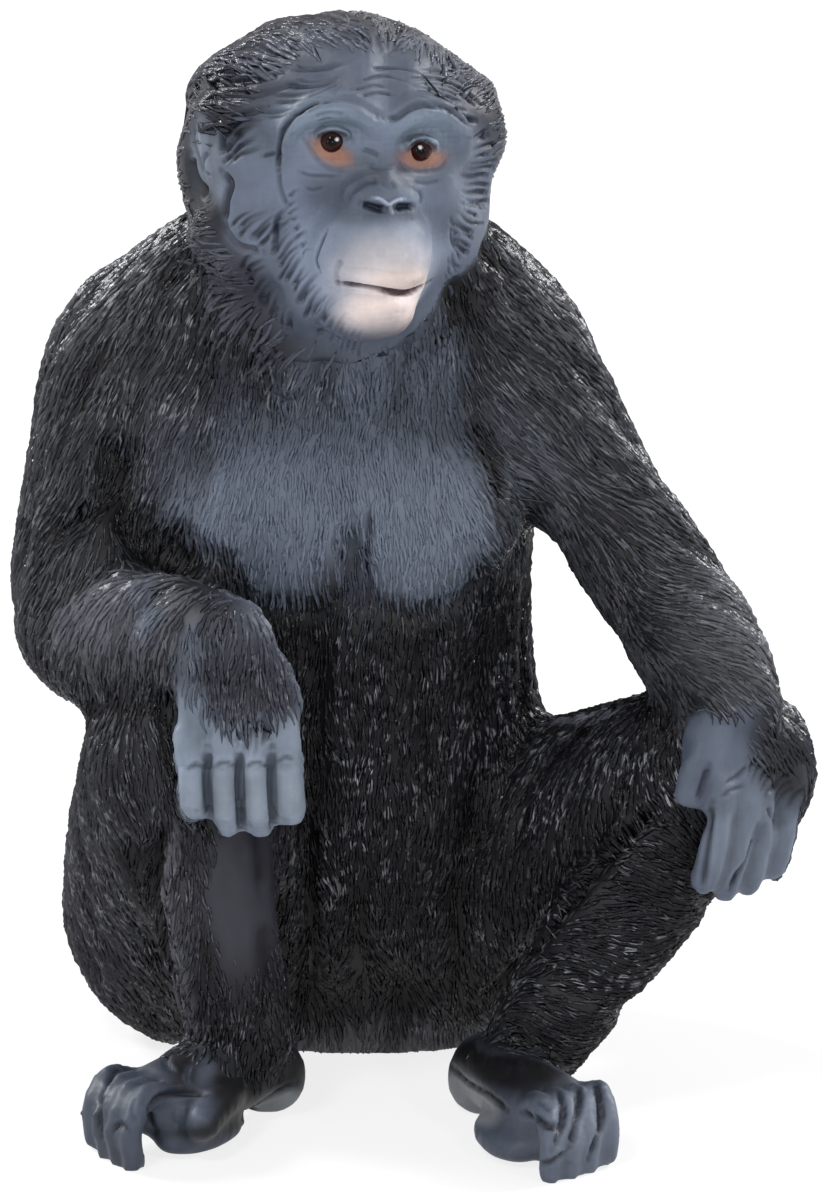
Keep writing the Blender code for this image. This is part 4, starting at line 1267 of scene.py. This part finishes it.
@dataclass
class Skin:
    """The whole body's surface, with its modelled creases and its paint."""

    voxel: float = 0.38
    facet_passes: int = 8
    fine_passes: int = 4
    chest_passes: int = 60
    crease_step: float = 1.5
    patch_edge: float = 0.5
    fine_front: float = 0.35
    paint_fade: Span = (-0.1, 0.35)
    breast_fade: Span = (-0.45, -0.05)
    ahead_soft: float = 0.5
    base_blur: int = 6
    spray_blur: int = 3
    hollow_size: float = 0.02
    # How much hollows are painted darker and ridges lighter: painted shade and painted light.
    hollow_shade: float = 0.55
    ridge_light: float = 0.25
    surface: Surface | None = None
    labels: np.ndarray | None = None

    def cast(self) -> bpy.types.Mesh:
        """Make an even, seamless mesh of the CAD solid.

        Returns:
            The new mesh.
        """
        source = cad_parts[NODE]
        shape = bmesh.new()
        shape.from_mesh(source.data)
        bmesh.ops.remove_doubles(shape, verts=shape.verts, dist=0.001 * MM)
        mesh = bpy.data.meshes.new("casting")
        shape.to_mesh(mesh)
        shape.free()
        blank = bpy.data.objects.new("casting", mesh)
        bpy.context.scene.collection.objects.link(blank)
        remesh = blank.modifiers.new("even", "REMESH")
        remesh.mode = "VOXEL"
        remesh.voxel_size = self.voxel * MM
        remesh.use_smooth_shade = True
        result = evaluated(blank)
        bpy.data.objects.remove(blank)
        return result

    def refine(self, mesh: bpy.types.Mesh, zones: tuple[Spray, ...]) -> None:
        """Divide the faces that need finer modelling.

        Args:
            mesh: The mesh to divide.
            zones: Where, as patches of the frame.
        """
        surface = Surface(mesh)
        front = surface.normals()[:, 1] < self.fine_front
        pixels = VIEW.pixels(surface.points)
        part = nearest_part(surface.points)
        chosen = np.zeros(len(surface.points), bool)
        for zone in zones:
            hit = zone.cover(pixels) > self.patch_edge
            chosen |= hit & front & np.isin(part, zone.parts)
        shape = bmesh.new()
        shape.from_mesh(mesh)
        edges = [edge for edge in shape.edges
                 if chosen[edge.verts[0].index] and chosen[edge.verts[1].index]]
        bmesh.ops.subdivide_edges(shape, edges=edges, cuts=1, use_grid_fill=True)
        shape.to_mesh(mesh)
        shape.free()

    def smooth_chest(self) -> None:
        """Level the broad furrows under the fine hair of the chest."""
        surface = self.surface
        share = CHEST.cover(VIEW.pixels(surface.points)) * np.isin(self.labels, CHEST.parts)
        share = (share * (surface.normals()[:, 1] < 0))[:, None]
        for _ in range(self.chest_passes):
            surface.points += SMOOTH * share * (surface.mean(surface.points) - surface.points)

    def carve(self) -> np.ndarray:
        """Press every modelling stroke into the surface.

        Returns:
            The strokes' paint and painted shading at each vertex, as a colour and a share.
        """
        surface = self.surface
        normals = surface.normals()
        pixels = VIEW.pixels(surface.points)
        shape = BVHTree.FromPolygons(
            [Vector(point) for point in surface.points],
            [tuple(face.vertices) for face in surface.mesh.polygons])
        paint_and_shading = np.zeros((len(surface.points), 4))
        push = np.zeros(len(surface.points))
        eye = VIEW.eye()
        for stroke in (*STROKES, *(hair for fan in FANS for hair in fan.strokes())):
            line = [shape.ray_cast(eye, VIEW.ray(pixel))[0]
                    for pixel in smooth_path(stroke.path, self.crease_step)]
            line = np.array([point for point in line if point is not None])
            if len(line) == 0:
                LOG.warning("a stroke at %s meets nothing", stroke.path[0])
                continue
            places = VIEW.pixels(line)
            margin = stroke.width * TOOL.margin
            near = np.all((pixels > places.min(0) - margin) & (pixels < places.max(0) + margin), 1)
            index = np.nonzero(near & np.isin(self.labels, stroke.parts))[0]
            if len(index) == 0:
                continue
            gap = np.linalg.norm(surface.points[index][:, None] - line[None], axis=2)
            along = gap.argmin(1) / max(len(line) - 1, 1)
            gap = gap.min(1) / (stroke.width * MM)
            taper = TOOL.taper(along, len(line), stroke.pointed)
            push[index] -= TOOL.trough(gap) * taper * stroke.depth * MM
            wet = TOOL.wet(gap) * stroke.paint_and_shading * taper
            deeper = wet > paint_and_shading[index, 3]
            chosen = index[deeper]
            paint_and_shading[chosen, :3] = ink(*stroke.colour)
            paint_and_shading[chosen, 3] = wet[deeper]
        surface.points += normals * push[:, None]
        surface.points[:, 2] = np.maximum(surface.points[:, 2], 0.0)
        return paint_and_shading

    def paint(self, paint_and_shading: np.ndarray) -> np.ndarray:
        """Airbrush the colours.

        Args:
            paint_and_shading: The strokes' own paint and painted shading.

        Returns:
            The linear colour of each vertex.
        """
        surface = self.surface
        pixels = VIEW.pixels(surface.points)
        normals = surface.normals()
        front = 1 - step(*self.paint_fade, normals[:, 1])
        breast = np.isin(self.labels, BREAST)
        front[breast] = 1 - step(*self.breast_fade, normals[breast, 1])
        axes = np.array(head_axes())
        forward = (surface.points - axes[:3, 3]) @ axes[:3, 1] / MM
        colours = np.tile(ink(*BLACK), (len(surface.points), 1))
        for part, colour in BASE_PAINT.items():
            colours[self.labels == part] = ink(*colour)
        colours = surface.blur(colours, self.base_blur)
        for spray in SPRAYS:
            share = spray.cover(pixels) * np.isin(self.labels, spray.parts)
            if spray.ahead is not None:
                share = share * (1 - step(spray.ahead - self.ahead_soft,
                                          spray.ahead + self.ahead_soft, forward))
            share = share * front
            colours += (ink(*spray.colour) - colours) * share[:, None]
        colours = surface.blur(colours, self.spray_blur)
        # Hollows are painted darker and ridges lighter: painted shade and painted light.
        hollow = ((surface.mean(surface.points) - surface.points) * normals).sum(1)
        hollow = surface.blur(hollow, 1) / (self.hollow_size * MM)
        hollow_shade = 1 - self.hollow_shade * np.clip(hollow, 0, 1) + self.ridge_light * np.clip(-hollow, 0, 1)
        colours = colours * hollow_shade[:, None]
        return colours + (paint_and_shading[:, :3] - colours) * paint_and_shading[:, 3:]

    def build(self) -> bpy.types.Mesh:
        """Cast, smooth, carve and paint the skin, and note where its fur grows.

        Returns:
            The whole skin in one mesh.
        """
        mesh = self.cast()
        surface = Surface(mesh)
        surface.relax(self.facet_passes)
        surface.write()
        self.refine(mesh, FINE_ZONES)
        self.refine(mesh, FINEST_ZONES)
        self.surface = surface = Surface(mesh)
        surface.relax(self.fine_passes)
        self.labels = nearest_part(surface.points)
        self.smooth_chest()
        paint_and_shading = self.carve()
        colours = self.paint(paint_and_shading)
        surface.store("paint", "FLOAT_COLOR", np.hstack((colours, np.ones((len(colours), 1)))))
        Growth(surface, self.labels).store(colours)
        surface.write()
        mesh.polygons.foreach_set("use_smooth", [True] * len(mesh.polygons))
        coat = mesh.attributes.new("coat", "INT", "FACE")
        owner = np.array([coat_of(part) for part in Part])
        first = [face.vertices[0] for face in mesh.polygons]
        coat.data.foreach_set("value", owner[self.labels[first]].astype(np.int32))
        return mesh

    def piece(self, name: str, mesh: bpy.types.Mesh, head: bool,
              material: bpy.types.Material) -> bpy.types.Object:
        """Cut the head or the rest from the whole skin and close the cut.

        Args:
            name: The piece's name.
            mesh: The whole skin.
            head: Whether the head is kept, or all else.
            material: The skin's paint.

        Returns:
            The piece.
        """
        shape = bmesh.new()
        shape.from_mesh(mesh)
        coat = shape.faces.layers.int["coat"]
        gone = [face for face in shape.faces if (face[coat] == Coat.HEAD) != head]
        bmesh.ops.delete(shape, geom=gone, context="FACES")
        rim = [edge for edge in shape.edges if edge.is_boundary]
        filled = bmesh.ops.holes_fill(shape, edges=rim, sides=0)["faces"]
        bmesh.ops.triangulate(shape, faces=filled)
        part = bpy.data.meshes.new(name)
        shape.to_mesh(part)
        shape.free()
        return keep(name, part, material)


@dataclass
class Growth:
    """Where the fur grows, how long it is, how it is combed, how its ridges are dry-brushed and
    where glints are painted on them.
    """

    surface: Surface
    labels: np.ndarray
    front: float = 0.5
    back: float = 0.3
    patch_edge: float = 0.5
    ground: float = 0.4
    haired_above: Point = (0, 0, 23.0)
    edge_blur: int = 4
    chest_short: float = 0.14
    size_blur: int = 6
    edge_size: float = 0.45
    upward: Span = (-0.2, 0.9)
    dry_top_light: Span = (0.5, 1.1)
    painted: Span = (0.0034, 0.0056)
    unpainted_light: float = 0.1
    dry_blur: int = 4
    glint_boost: Span = (0.6, 1.5)
    chest_painted: Span = (0.03, 0.08)
    chest_dull: float = 0.85
    glint_paint_blur: int = 3
    pull_reach: float = 0.8
    deepest: float = -3.0
    sway_seed: int = 7
    sway_scale: float = 330.0
    sway: float = 0.32
    head_sway: float = 0.16
    face_centre: Point = (0.0, 0.0, 0.5)
    behind: Span = (-3.0, 7.0)
    spread_loss: float = 0.7
    face_back: Point = (0, 0.75, 0)
    parting: float = 0.35
    nape: Point = (0, 0.5, -1.1)

    def by_part(self, levels: dict[tuple[Part, ...], float], elsewhere: float) -> np.ndarray:
        """Give each vertex the level of its part of the body.

        Args:
            levels: A level for each group of parts.
            elsewhere: The level of all other parts.

        Returns:
            One number for each vertex.
        """
        out = np.full(len(self.labels), elsewhere)
        for parts, level in levels.items():
            out[np.isin(self.labels, parts)] = level
        return out

    def cover(self, pixels: np.ndarray, normals: np.ndarray) -> np.ndarray:
        """Work out where hair grows.

        Args:
            pixels: Where the vertices fall in the frame.
            normals: Their normals.

        Returns:
            A share from 0 to 1 for each vertex.
        """
        heights = self.surface.points[:, 2]
        grow = self.by_part(dict.fromkeys((RIGHT_HAND, LEFT_HAND, RIGHT_FOOT, LEFT_FOOT), 0.0),
                            1.0)
        grow[heights < self.ground * MM] = 0
        for patch in HAIRED_BACKS:
            near = (patch.cover(pixels) > self.patch_edge) | (normals[:, 1] > self.back)
            near &= np.isin(self.labels, patch.parts) & (heights > at(self.haired_above)[2])
            grow[near] = 1
        grow = self.surface.blur(grow, self.edge_blur)
        for patch in BARE:
            share = patch.cover(pixels) * (normals[:, 1] < self.front)
            grow *= 1 - share * np.isin(self.labels, patch.parts)
        return grow

    def store(self, colours: np.ndarray) -> None:
        """Save all that the fur's tree and its paint read from the skin.

        Args:
            colours: The linear paint of each vertex.
        """
        surface = self.surface
        points, normals = surface.points, surface.normals()
        pixels = VIEW.pixels(points)
        front = normals[:, 1] < self.front
        chest = CHEST.cover(pixels)
        grow = self.cover(pixels, normals)
        size = 1 - self.chest_short * chest * np.isin(self.labels, CHEST.parts) * front
        size = surface.blur(size, self.size_blur)
        surface.store("fur", "FLOAT", grow)
        surface.store("lock", "FLOAT", size * (self.edge_size + (1 - self.edge_size) * grow))
        surface.store("comb", "FLOAT_VECTOR", self.comb(points, normals))
        brightest = colours.max(1)
        lit = (self.unpainted_light
               + (1 - self.unpainted_light) * step(*self.painted, brightest))
        # The dry brush is laid on more thickly where the surface faces up: painted top light over
        # the dry-brushed paint.
        low, high = self.dry_top_light
        sky = low + (high - low) * step(*self.upward, normals[:, 2])
        dry = self.by_part(DRY_BRUSH, DRY_ELSEWHERE) * lit * sky
        surface.store("dry", "FLOAT", surface.blur(dry, self.dry_blur))
        # Where, and how thickly, glints are painted on the lock crests.
        low, high = self.glint_boost
        boost = low + (high - low) * np.max([zone.cover(pixels) for zone in GLINT_ZONES], 0) * front
        dull = 1 - self.chest_dull * chest * step(*self.chest_painted, brightest)
        shine = self.by_part(GLINT_PAINT_BY_PART, GLINT_PAINT_ELSEWHERE) * boost * lit * dull
        surface.store("shine", "FLOAT", surface.blur(shine, self.glint_paint_blur))

    def comb(self, points: np.ndarray, normals: np.ndarray) -> np.ndarray:
        """Comb the hair: every limb pulls it its own way, blended where they meet.

        Args:
            points: The vertices.
            normals: Their normals.

        Returns:
            A unit direction along the surface for each vertex.
        """
        total = np.zeros_like(points)
        for bone in BONES:
            gap, away = bone.distance(points)
            pull = np.exp(-np.maximum(gap, self.deepest) / self.pull_reach)
            if bone.part == Part.HEAD:
                flow = self.head_flow(points)
            else:
                flow = np.array(bone.comb, float) / np.linalg.norm(bone.comb)
                flow = flow + away * bone.outward
            total += flow * pull[:, None]
        total = unit(total)
        # Without a seed of its own, this noise would start from the clock.
        noise.seed_set(self.sway_seed)
        sway = np.array([noise.noise_vector(Vector(point) * self.sway_scale)
                         for point in points])
        total += sway * self.by_part({HEAD: self.head_sway}, self.sway)[:, None]
        total -= normals * (total * normals).sum(1)[:, None]
        return unit(total)

    def head_flow(self, points: np.ndarray) -> np.ndarray:
        """Comb the head from the face outwards, over the crown and down the nape.

        Args:
            points: The vertices.

        Returns:
            A direction for each vertex.
        """
        axes = np.array(head_axes())
        local = (points - axes[:3, 3]) @ axes[:3, :3] / MM
        spread = local - np.array(self.face_centre)
        spread[:, 1] = 0
        behind = step(*self.behind, local[:, 1])[:, None]
        flow = (unit(spread) * (1.0 - self.spread_loss * behind)
                + np.array(self.face_back) * (1 - behind))
        flow[:, 0] += np.sign(local[:, 0]) * self.parting
        flow += np.array(self.nape) * behind
        return unit(flow) @ axes[:3, :3].T


@dataclass(frozen=True)
class LockSize:
    """How large the locks of one coat are and how close they stand, in millimetres."""

    spacing: float
    length: float
    width: float
    height: float


LOCK_SIZES = {
    Coat.HEAD: LockSize(0.35, 3.6, 0.46, 0.15),
    Coat.TORSO: LockSize(0.33, 2.0, 0.36, 0.2),
    Coat.ARMS: LockSize(0.30, 2.1, 0.34, 0.18),
    Coat.LEGS: LockSize(0.325, 1.8, 0.34, 0.2),
}


@dataclass
class FurCoat:
    """Locks of hair laid over the skin by one node tree."""

    hug: float = 0.92
    seed: int = 7
    crowding: float = 1.6
    off_ground: float = 0.02
    bends: tuple[float, ...] = (-0.55, -0.2, 0.25, 0.6)
    stations: tuple[Point, ...] = ((0.22, 0.85, 0.62), (0.5, 1.0, 1.0), (0.78, 0.76, 0.5))
    root_rise: float = -0.3
    skirt_rise: float = -0.35
    tip_rise: float = -0.2
    tip_lean: float = -0.3
    root_light: float = 0.2
    tip_light: float = 0.6
    stray: tuple[Point, Point] = ((0.0, -0.02, -0.15), (0.0, 0.05, 0.15))
    vary: tuple[Point, Point] = ((0.6, 0.75, 0.7), (1.3, 1.25, 1.25))
    vary_seed: int = 3
    pick_seed: int = 5
    tone: Span = (0.25, 1.0)
    tone_seed: int = 9
    tree: bpy.types.NodeTree | None = None
    inputs: dict[str, str] = field(default_factory=dict)

    def lock(self, bend: float) -> bpy.types.Object:
        """Model one lock, a millimetre long, wide and high.

        Args:
            bend: How far its middle leans sideways, as a share of its width.

        Returns:
            The lock's object, which the tree copies.
        """
        shape = bmesh.new()
        ridge = shape.verts.layers.float.new("ridge")
        rise = shape.verts.layers.float.new("rise")

        def corner(along: float, across: float, height: float, light: float) -> bmesh.types.BMVert:
            """Add one vertex that knows its height over the skin.

            Args:
                along: Its place along the lock.
                across: Its place across the lock.
                height: Its height over the skin.
                light: How far up the ridge the paint takes it to be.

            Returns:
                The vertex.
            """
            made = shape.verts.new((along, across, height))
            made[rise] = height
            made[ridge] = light
            return made

        root = corner(0, 0, self.root_rise, self.root_light)
        rings = []
        for along, width, height in self.stations:
            lean = bend * math.sin(math.pi * along)
            rings.append([corner(along, lean + 0.5 * width, self.skirt_rise, 0.0),
                          corner(along, lean, height, 1.0),
                          corner(along, lean - 0.5 * width, self.skirt_rise, 0.0)])
        tip = corner(1.0, bend * self.tip_lean, self.tip_rise, self.tip_light)
        for side in range(3):
            after = (side + 1) % 3
            shape.faces.new((root, rings[0][after], rings[0][side]))
            shape.faces.new((tip, rings[-1][side], rings[-1][after]))
            for near, far in zip(rings, rings[1:]):
                shape.faces.new((near[side], near[after], far[after], far[side]))
        bmesh.ops.recalc_face_normals(shape, faces=shape.faces)
        for face in shape.faces:
            face.smooth = True
        for vertex in shape.verts:
            vertex.co *= MM
        mesh = bpy.data.meshes.new("lock")
        shape.to_mesh(mesh)
        shape.free()
        return bpy.data.objects.new("lock", mesh)

    def plant(self, material: bpy.types.Material) -> None:
        """Build the node tree that lays the locks.

        Args:
            material: The fur's paint.
        """
        self.tree = tree = bpy.data.node_groups.new("lay_locks", "GeometryNodeTree")
        graph = Graph(tree)
        face = tree.interface
        face.new_socket("Geometry", in_out="INPUT", socket_type="NodeSocketGeometry")
        for name, kind in (("Spacing", "Float"), ("Density", "Float"), ("Length", "Float"),
                           ("Width", "Float"), ("Height", "Float"), ("Hug", "Float"),
                           ("Coat", "Int"), ("Seed", "Int")):
            socket = face.new_socket(name, in_out="INPUT", socket_type="NodeSocket" + kind)
            self.inputs[name] = socket.identifier
        face.new_socket("Geometry", in_out="OUTPUT", socket_type="NodeSocketGeometry")
        source = graph.add("NodeGroupInput").outputs
        same = graph.add("FunctionNodeCompare", {2: graph.named("coat", "INT"), 3: source["Coat"]},
                         data_type="INT", operation="EQUAL")
        patch = graph.add("GeometryNodeSeparateGeometry", {
            "Geometry": source["Geometry"], "Selection": same.outputs[0]}, domain="FACE")
        dots = graph.add("GeometryNodeDistributePointsOnFaces", {
            "Mesh": patch.outputs["Selection"], "Distance Min": source["Spacing"],
            "Density Max": source["Density"], "Density Factor": graph.named("fur"),
            "Seed": source["Seed"]}, distribute_method="POISSON")
        aim = graph.add("FunctionNodeAxesToRotation", {
            0: dots.outputs["Normal"], 1: graph.named("comb", "FLOAT_VECTOR")},
            primary_axis="Z", secondary_axis="X")
        stray = graph.add("FunctionNodeRandomValue", {
            "Min": self.stray[0], "Max": self.stray[1]}, data_type="FLOAT_VECTOR")
        spin = graph.add("FunctionNodeRotateRotation", {
            "Rotation": aim.outputs[0], "Rotate By": stray.outputs[0]}, rotation_space="LOCAL")
        size = graph.add("ShaderNodeCombineXYZ", {
            0: source["Length"], 1: source["Width"], 2: source["Height"]})
        vary = graph.add("FunctionNodeRandomValue", {
            "Min": self.vary[0], "Max": self.vary[1], "Seed": self.vary_seed},
            data_type="FLOAT_VECTOR")
        scaled = graph.add("ShaderNodeVectorMath", {
            0: size.outputs[0], 1: vary.outputs[0]}, operation="MULTIPLY")
        sized = graph.add("ShaderNodeVectorMath", {
            0: scaled.outputs[0], "Scale": graph.named("lock")}, operation="SCALE")
        box = graph.add("GeometryNodeJoinGeometry")
        for bend in self.bends:
            item = graph.add("GeometryNodeObjectInfo", {
                "Object": self.lock(bend), "As Instance": True})
            tree.links.new(item.outputs["Geometry"], box.inputs[0])
        chosen = graph.add("FunctionNodeRandomValue", {
            "Min": 0, "Max": len(self.bends) - 1, "Seed": self.pick_seed}, data_type="INT")
        placed = graph.add("GeometryNodeInstanceOnPoints", {
            "Points": dots.outputs["Points"], "Instance": box.outputs[0], "Pick Instance": True,
            "Instance Index": chosen.outputs[2], "Rotation": spin.outputs[0],
            "Scale": sized.outputs[0]})
        tone = graph.add("FunctionNodeRandomValue", {
            2: self.tone[0], 3: self.tone[1], "Seed": self.tone_seed}, data_type="FLOAT")
        parts = graph.add("ShaderNodeSeparateXYZ", {0: sized.outputs[0]})
        locks = placed.outputs[0]
        for name, value in (("tone", tone.outputs[1]), ("tall", parts.outputs["Z"])):
            locks = graph.add("GeometryNodeStoreNamedAttribute", {
                "Geometry": locks, "Name": name, "Value": value},
                data_type="FLOAT", domain="INSTANCE").outputs[0]
        solid = graph.add("GeometryNodeRealizeInstances", {"Geometry": locks})
        dressed = graph.add("GeometryNodeSetMaterial", {
            "Geometry": self.conform(graph, solid.outputs[0], source), "Material": material})
        graph.add("NodeGroupOutput", {0: dressed.outputs[0]})

    def conform(self, graph: Graph, locks: Socket, source: bpy.types.NodeOutputs) -> Socket:
        """Bend the locks round the body, each vertex at its own height over the skin.

        Args:
            graph: The tree to add the nodes to.
            locks: The realized locks.
            source: The tree's own inputs.

        Returns:
            The bent locks.
        """
        near = graph.add("GeometryNodeProximity", {0: source["Geometry"]},
                         target_element="FACES")
        normal = graph.add("GeometryNodeInputNormal")
        facing = graph.add("GeometryNodeSampleNearestSurface", {
            "Mesh": source["Geometry"], "Value": normal.outputs[0]}, data_type="FLOAT_VECTOR")
        height = graph.maths("MULTIPLY", graph.named("rise"), graph.named("tall"))
        lift = graph.add("ShaderNodeVectorMath", {
            0: facing.outputs[0], "Scale": graph.maths("MULTIPLY", height, MM)},
            operation="SCALE")
        onto = graph.add("ShaderNodeVectorMath", {0: near.outputs[0], 1: lift.outputs[0]},
                         operation="ADD")
        here = graph.add("GeometryNodeInputPosition")
        blend = graph.add("ShaderNodeMix", {
            0: source["Hug"], 4: here.outputs[0], 5: onto.outputs[0]}, data_type="VECTOR")
        return graph.add("GeometryNodeSetPosition", {
            "Geometry": locks, "Position": blend.outputs[1]}).outputs[0]

    def lay(self, skin: bpy.types.Mesh, coat: Coat, material: bpy.types.Material
            ) -> bpy.types.Object:
        """Lay one coat and keep it as a plain mesh.

        Args:
            skin: The skin that the hair grows on.
            coat: Which coat.
            material: The fur's paint.

        Returns:
            The coat's object.
        """
        size = LOCK_SIZES[coat]
        carrier = bpy.data.objects.new("carrier", skin)
        bpy.context.scene.collection.objects.link(carrier)
        modifier = carrier.modifiers.new("fur", "NODES")
        modifier.node_group = self.tree
        values = {
            "Spacing": size.spacing * MM, "Density": self.crowding / (size.spacing * MM) ** 2,
            "Length": size.length, "Width": size.width, "Height": size.height,
            "Hug": self.hug, "Coat": int(coat), "Seed": self.seed + int(coat),
        }
        for name, value in values.items():
            modifier[self.inputs[name]] = value
        mesh = evaluated(carrier)
        carrier.modifiers.clear()
        bpy.data.objects.remove(carrier)
        laid = Surface(mesh)
        laid.points[:, 2] = np.maximum(laid.points[:, 2], self.off_ground * MM)
        laid.write()
        return keep("fur_" + coat.name.lower(), mesh, material)


@dataclass
class Eyes:
    """Two glossy balls set in their lids, each with a painted catch-light."""

    radius: float = 0.66
    centres: tuple[Pixel, ...] = ((331.8, 141.2), (420.4, 150.0))
    painted_catchlights: tuple[Pixel, ...] = ((0.3, 0.1), (0.0, 0.14))
    catchlight_size: float = 0.11
    catchlight_edge: Span = (0.6, 1.3)
    iris_edge: Span = (0.3, 0.6)
    sink: float = 0.28
    rings: int = 28
    sides: int = 48

    def build(self, skin: bpy.types.Mesh) -> bpy.types.Object:
        """Set both balls where the line of sight meets the skin.

        Args:
            skin: The skin that carries them.

        Returns:
            The eyes' object.
        """
        tree = BVHTree.FromPolygons([vertex.co for vertex in skin.vertices],
                                    [tuple(face.vertices) for face in skin.polygons])
        shape = bmesh.new()
        iris = shape.verts.layers.float.new("iris")
        spark = shape.verts.layers.float.new("spark")
        for pixel, catchlight_at in zip(self.centres, self.painted_catchlights):
            ray = VIEW.ray(pixel)
            hit = tree.ray_cast(VIEW.eye(), ray)[0]
            turn = ray.to_track_quat("-Z", "Y").to_matrix().to_4x4()
            place = Matrix.Translation(hit + ray * (self.sink * MM)) @ turn
            made = bmesh.ops.create_uvsphere(shape, u_segments=self.sides, v_segments=self.rings,
                                             radius=self.radius * MM)
            for vertex in made["verts"]:
                out = math.hypot(vertex.co.x, vertex.co.y) / (self.radius * MM)
                away = math.dist(vertex.co.xy / MM, catchlight_at) / self.catchlight_size
                vertex[iris] = float(step(*self.iris_edge, np.array(out)))
                # A pale dot painted on the front of each ball: a painted catch-light.
                vertex[spark] = float(vertex.co.z > 0) * (
                    1 - float(step(*self.catchlight_edge, np.array(away))))
                vertex.co = place @ vertex.co
        for face in shape.faces:
            face.smooth = True
        mesh = bpy.data.meshes.new("eyes")
        shape.to_mesh(mesh)
        shape.free()
        return keep("eyes", mesh, EyeGloss().material())


@dataclass(frozen=True)
class Lamp:
    """One soft square light, with its place and side in metres and its power in watts."""

    name: str
    place: Point
    size: float
    power: float
    target: Point = (0, 0, 0.035)

    def hang(self) -> None:
        """Put the light in the scene, facing the figure."""
        data = bpy.data.lights.new(self.name, "AREA")
        data.size = self.size
        data.energy = self.power
        lamp = bpy.data.objects.new(self.name, data)
        aim = Vector(self.target) - Vector(self.place)
        lamp.matrix_world = (Matrix.Translation(self.place)
                             @ aim.to_track_quat("-Z", "Y").to_matrix().to_4x4())
        bpy.context.scene.collection.objects.link(lamp)


LAMPS = (
    Lamp("key", (-0.22, -0.42, 0.58), 0.12, 2.0),
    Lamp("fill", (0.36, -0.50, 0.40), 0.07, 0.9),
    Lamp("low_left", (-0.42, -0.50, 0.13), 0.04, 0.5),
    Lamp("low_front", (0.10, -0.66, 0.10), 0.035, 0.45),
    Lamp("low_right", (0.50, -0.42, 0.16), 0.04, 0.5),
    Lamp("rim_left", (-0.42, 0.22, 0.36), 0.16, 3.6),
    Lamp("rim_right", (0.44, 0.20, 0.34), 0.16, 3.6),
)


@dataclass
class Studio:
    """A pale floor, soft lights and the camera."""

    floor_size: float = 3.0
    world_strength: float = 0.34

    def floor(self) -> None:
        """Lay the floor under the figure."""
        half = self.floor_size / 2
        mesh = bpy.data.meshes.new("floor")
        mesh.from_pydata([(-half, -half, 0), (half, -half, 0), (half, half, 0), (-half, half, 0)],
                         [], [(0, 1, 2, 3)])
        piece = keep("floor", mesh, PaleFloor().material())

    def sky(self) -> None:
        """Surround the figure with white that lights it softly."""
        world = bpy.data.worlds.new("white_room")
        world.use_nodes = True
        graph = Graph(world.node_tree)
        strength = graph.ramp(graph.seen_rays(), (0.0, 1.0), (self.world_strength, 1.0))
        light = graph.add("ShaderNodeBackground", {"Color": WHITE, "Strength": strength})
        graph.add("ShaderNodeOutputWorld", {"Surface": light.outputs[0]})
        bpy.context.scene.world = world

    def build(self) -> None:
        """Set up floor, sky, lamps and camera."""
        self.floor()
        self.sky()
        for lamp in LAMPS:
            lamp.hang()
        VIEW.camera()
        bpy.context.scene.view_settings.view_transform = "Standard"


def dress(piece: bpy.types.Object) -> None:
    """Fasten a piece to the figure and report it.

    Args:
        piece: The finished piece.
    """
    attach(piece, BODY)
    piece.data.calc_loop_triangles()
    LOG.info("%s: %d triangles", piece.name, len(piece.data.loop_triangles))


def main() -> None:
    """Build the figure's pieces in order and set them in the studio."""
    logging.basicConfig(level=logging.INFO, format="%(name)s %(message)s")
    body = Skin()
    skin = body.build()
    paint = SkinPaint().material()
    for name, head in (("skin_head", True), ("skin_body", False)):
        piece = body.piece(name, skin, head, paint)
        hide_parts(NODE)
        dress(piece)
    dress(Eyes().build(skin))
    fur_paint = FurPaint().material()
    fur = FurCoat()
    fur.plant(fur_paint)
    for coat in Coat:
        dress(fur.lay(skin, coat, fur_paint))
    bpy.data.meshes.remove(skin)
    Studio().build()


if __name__ == "__main__":
    main()
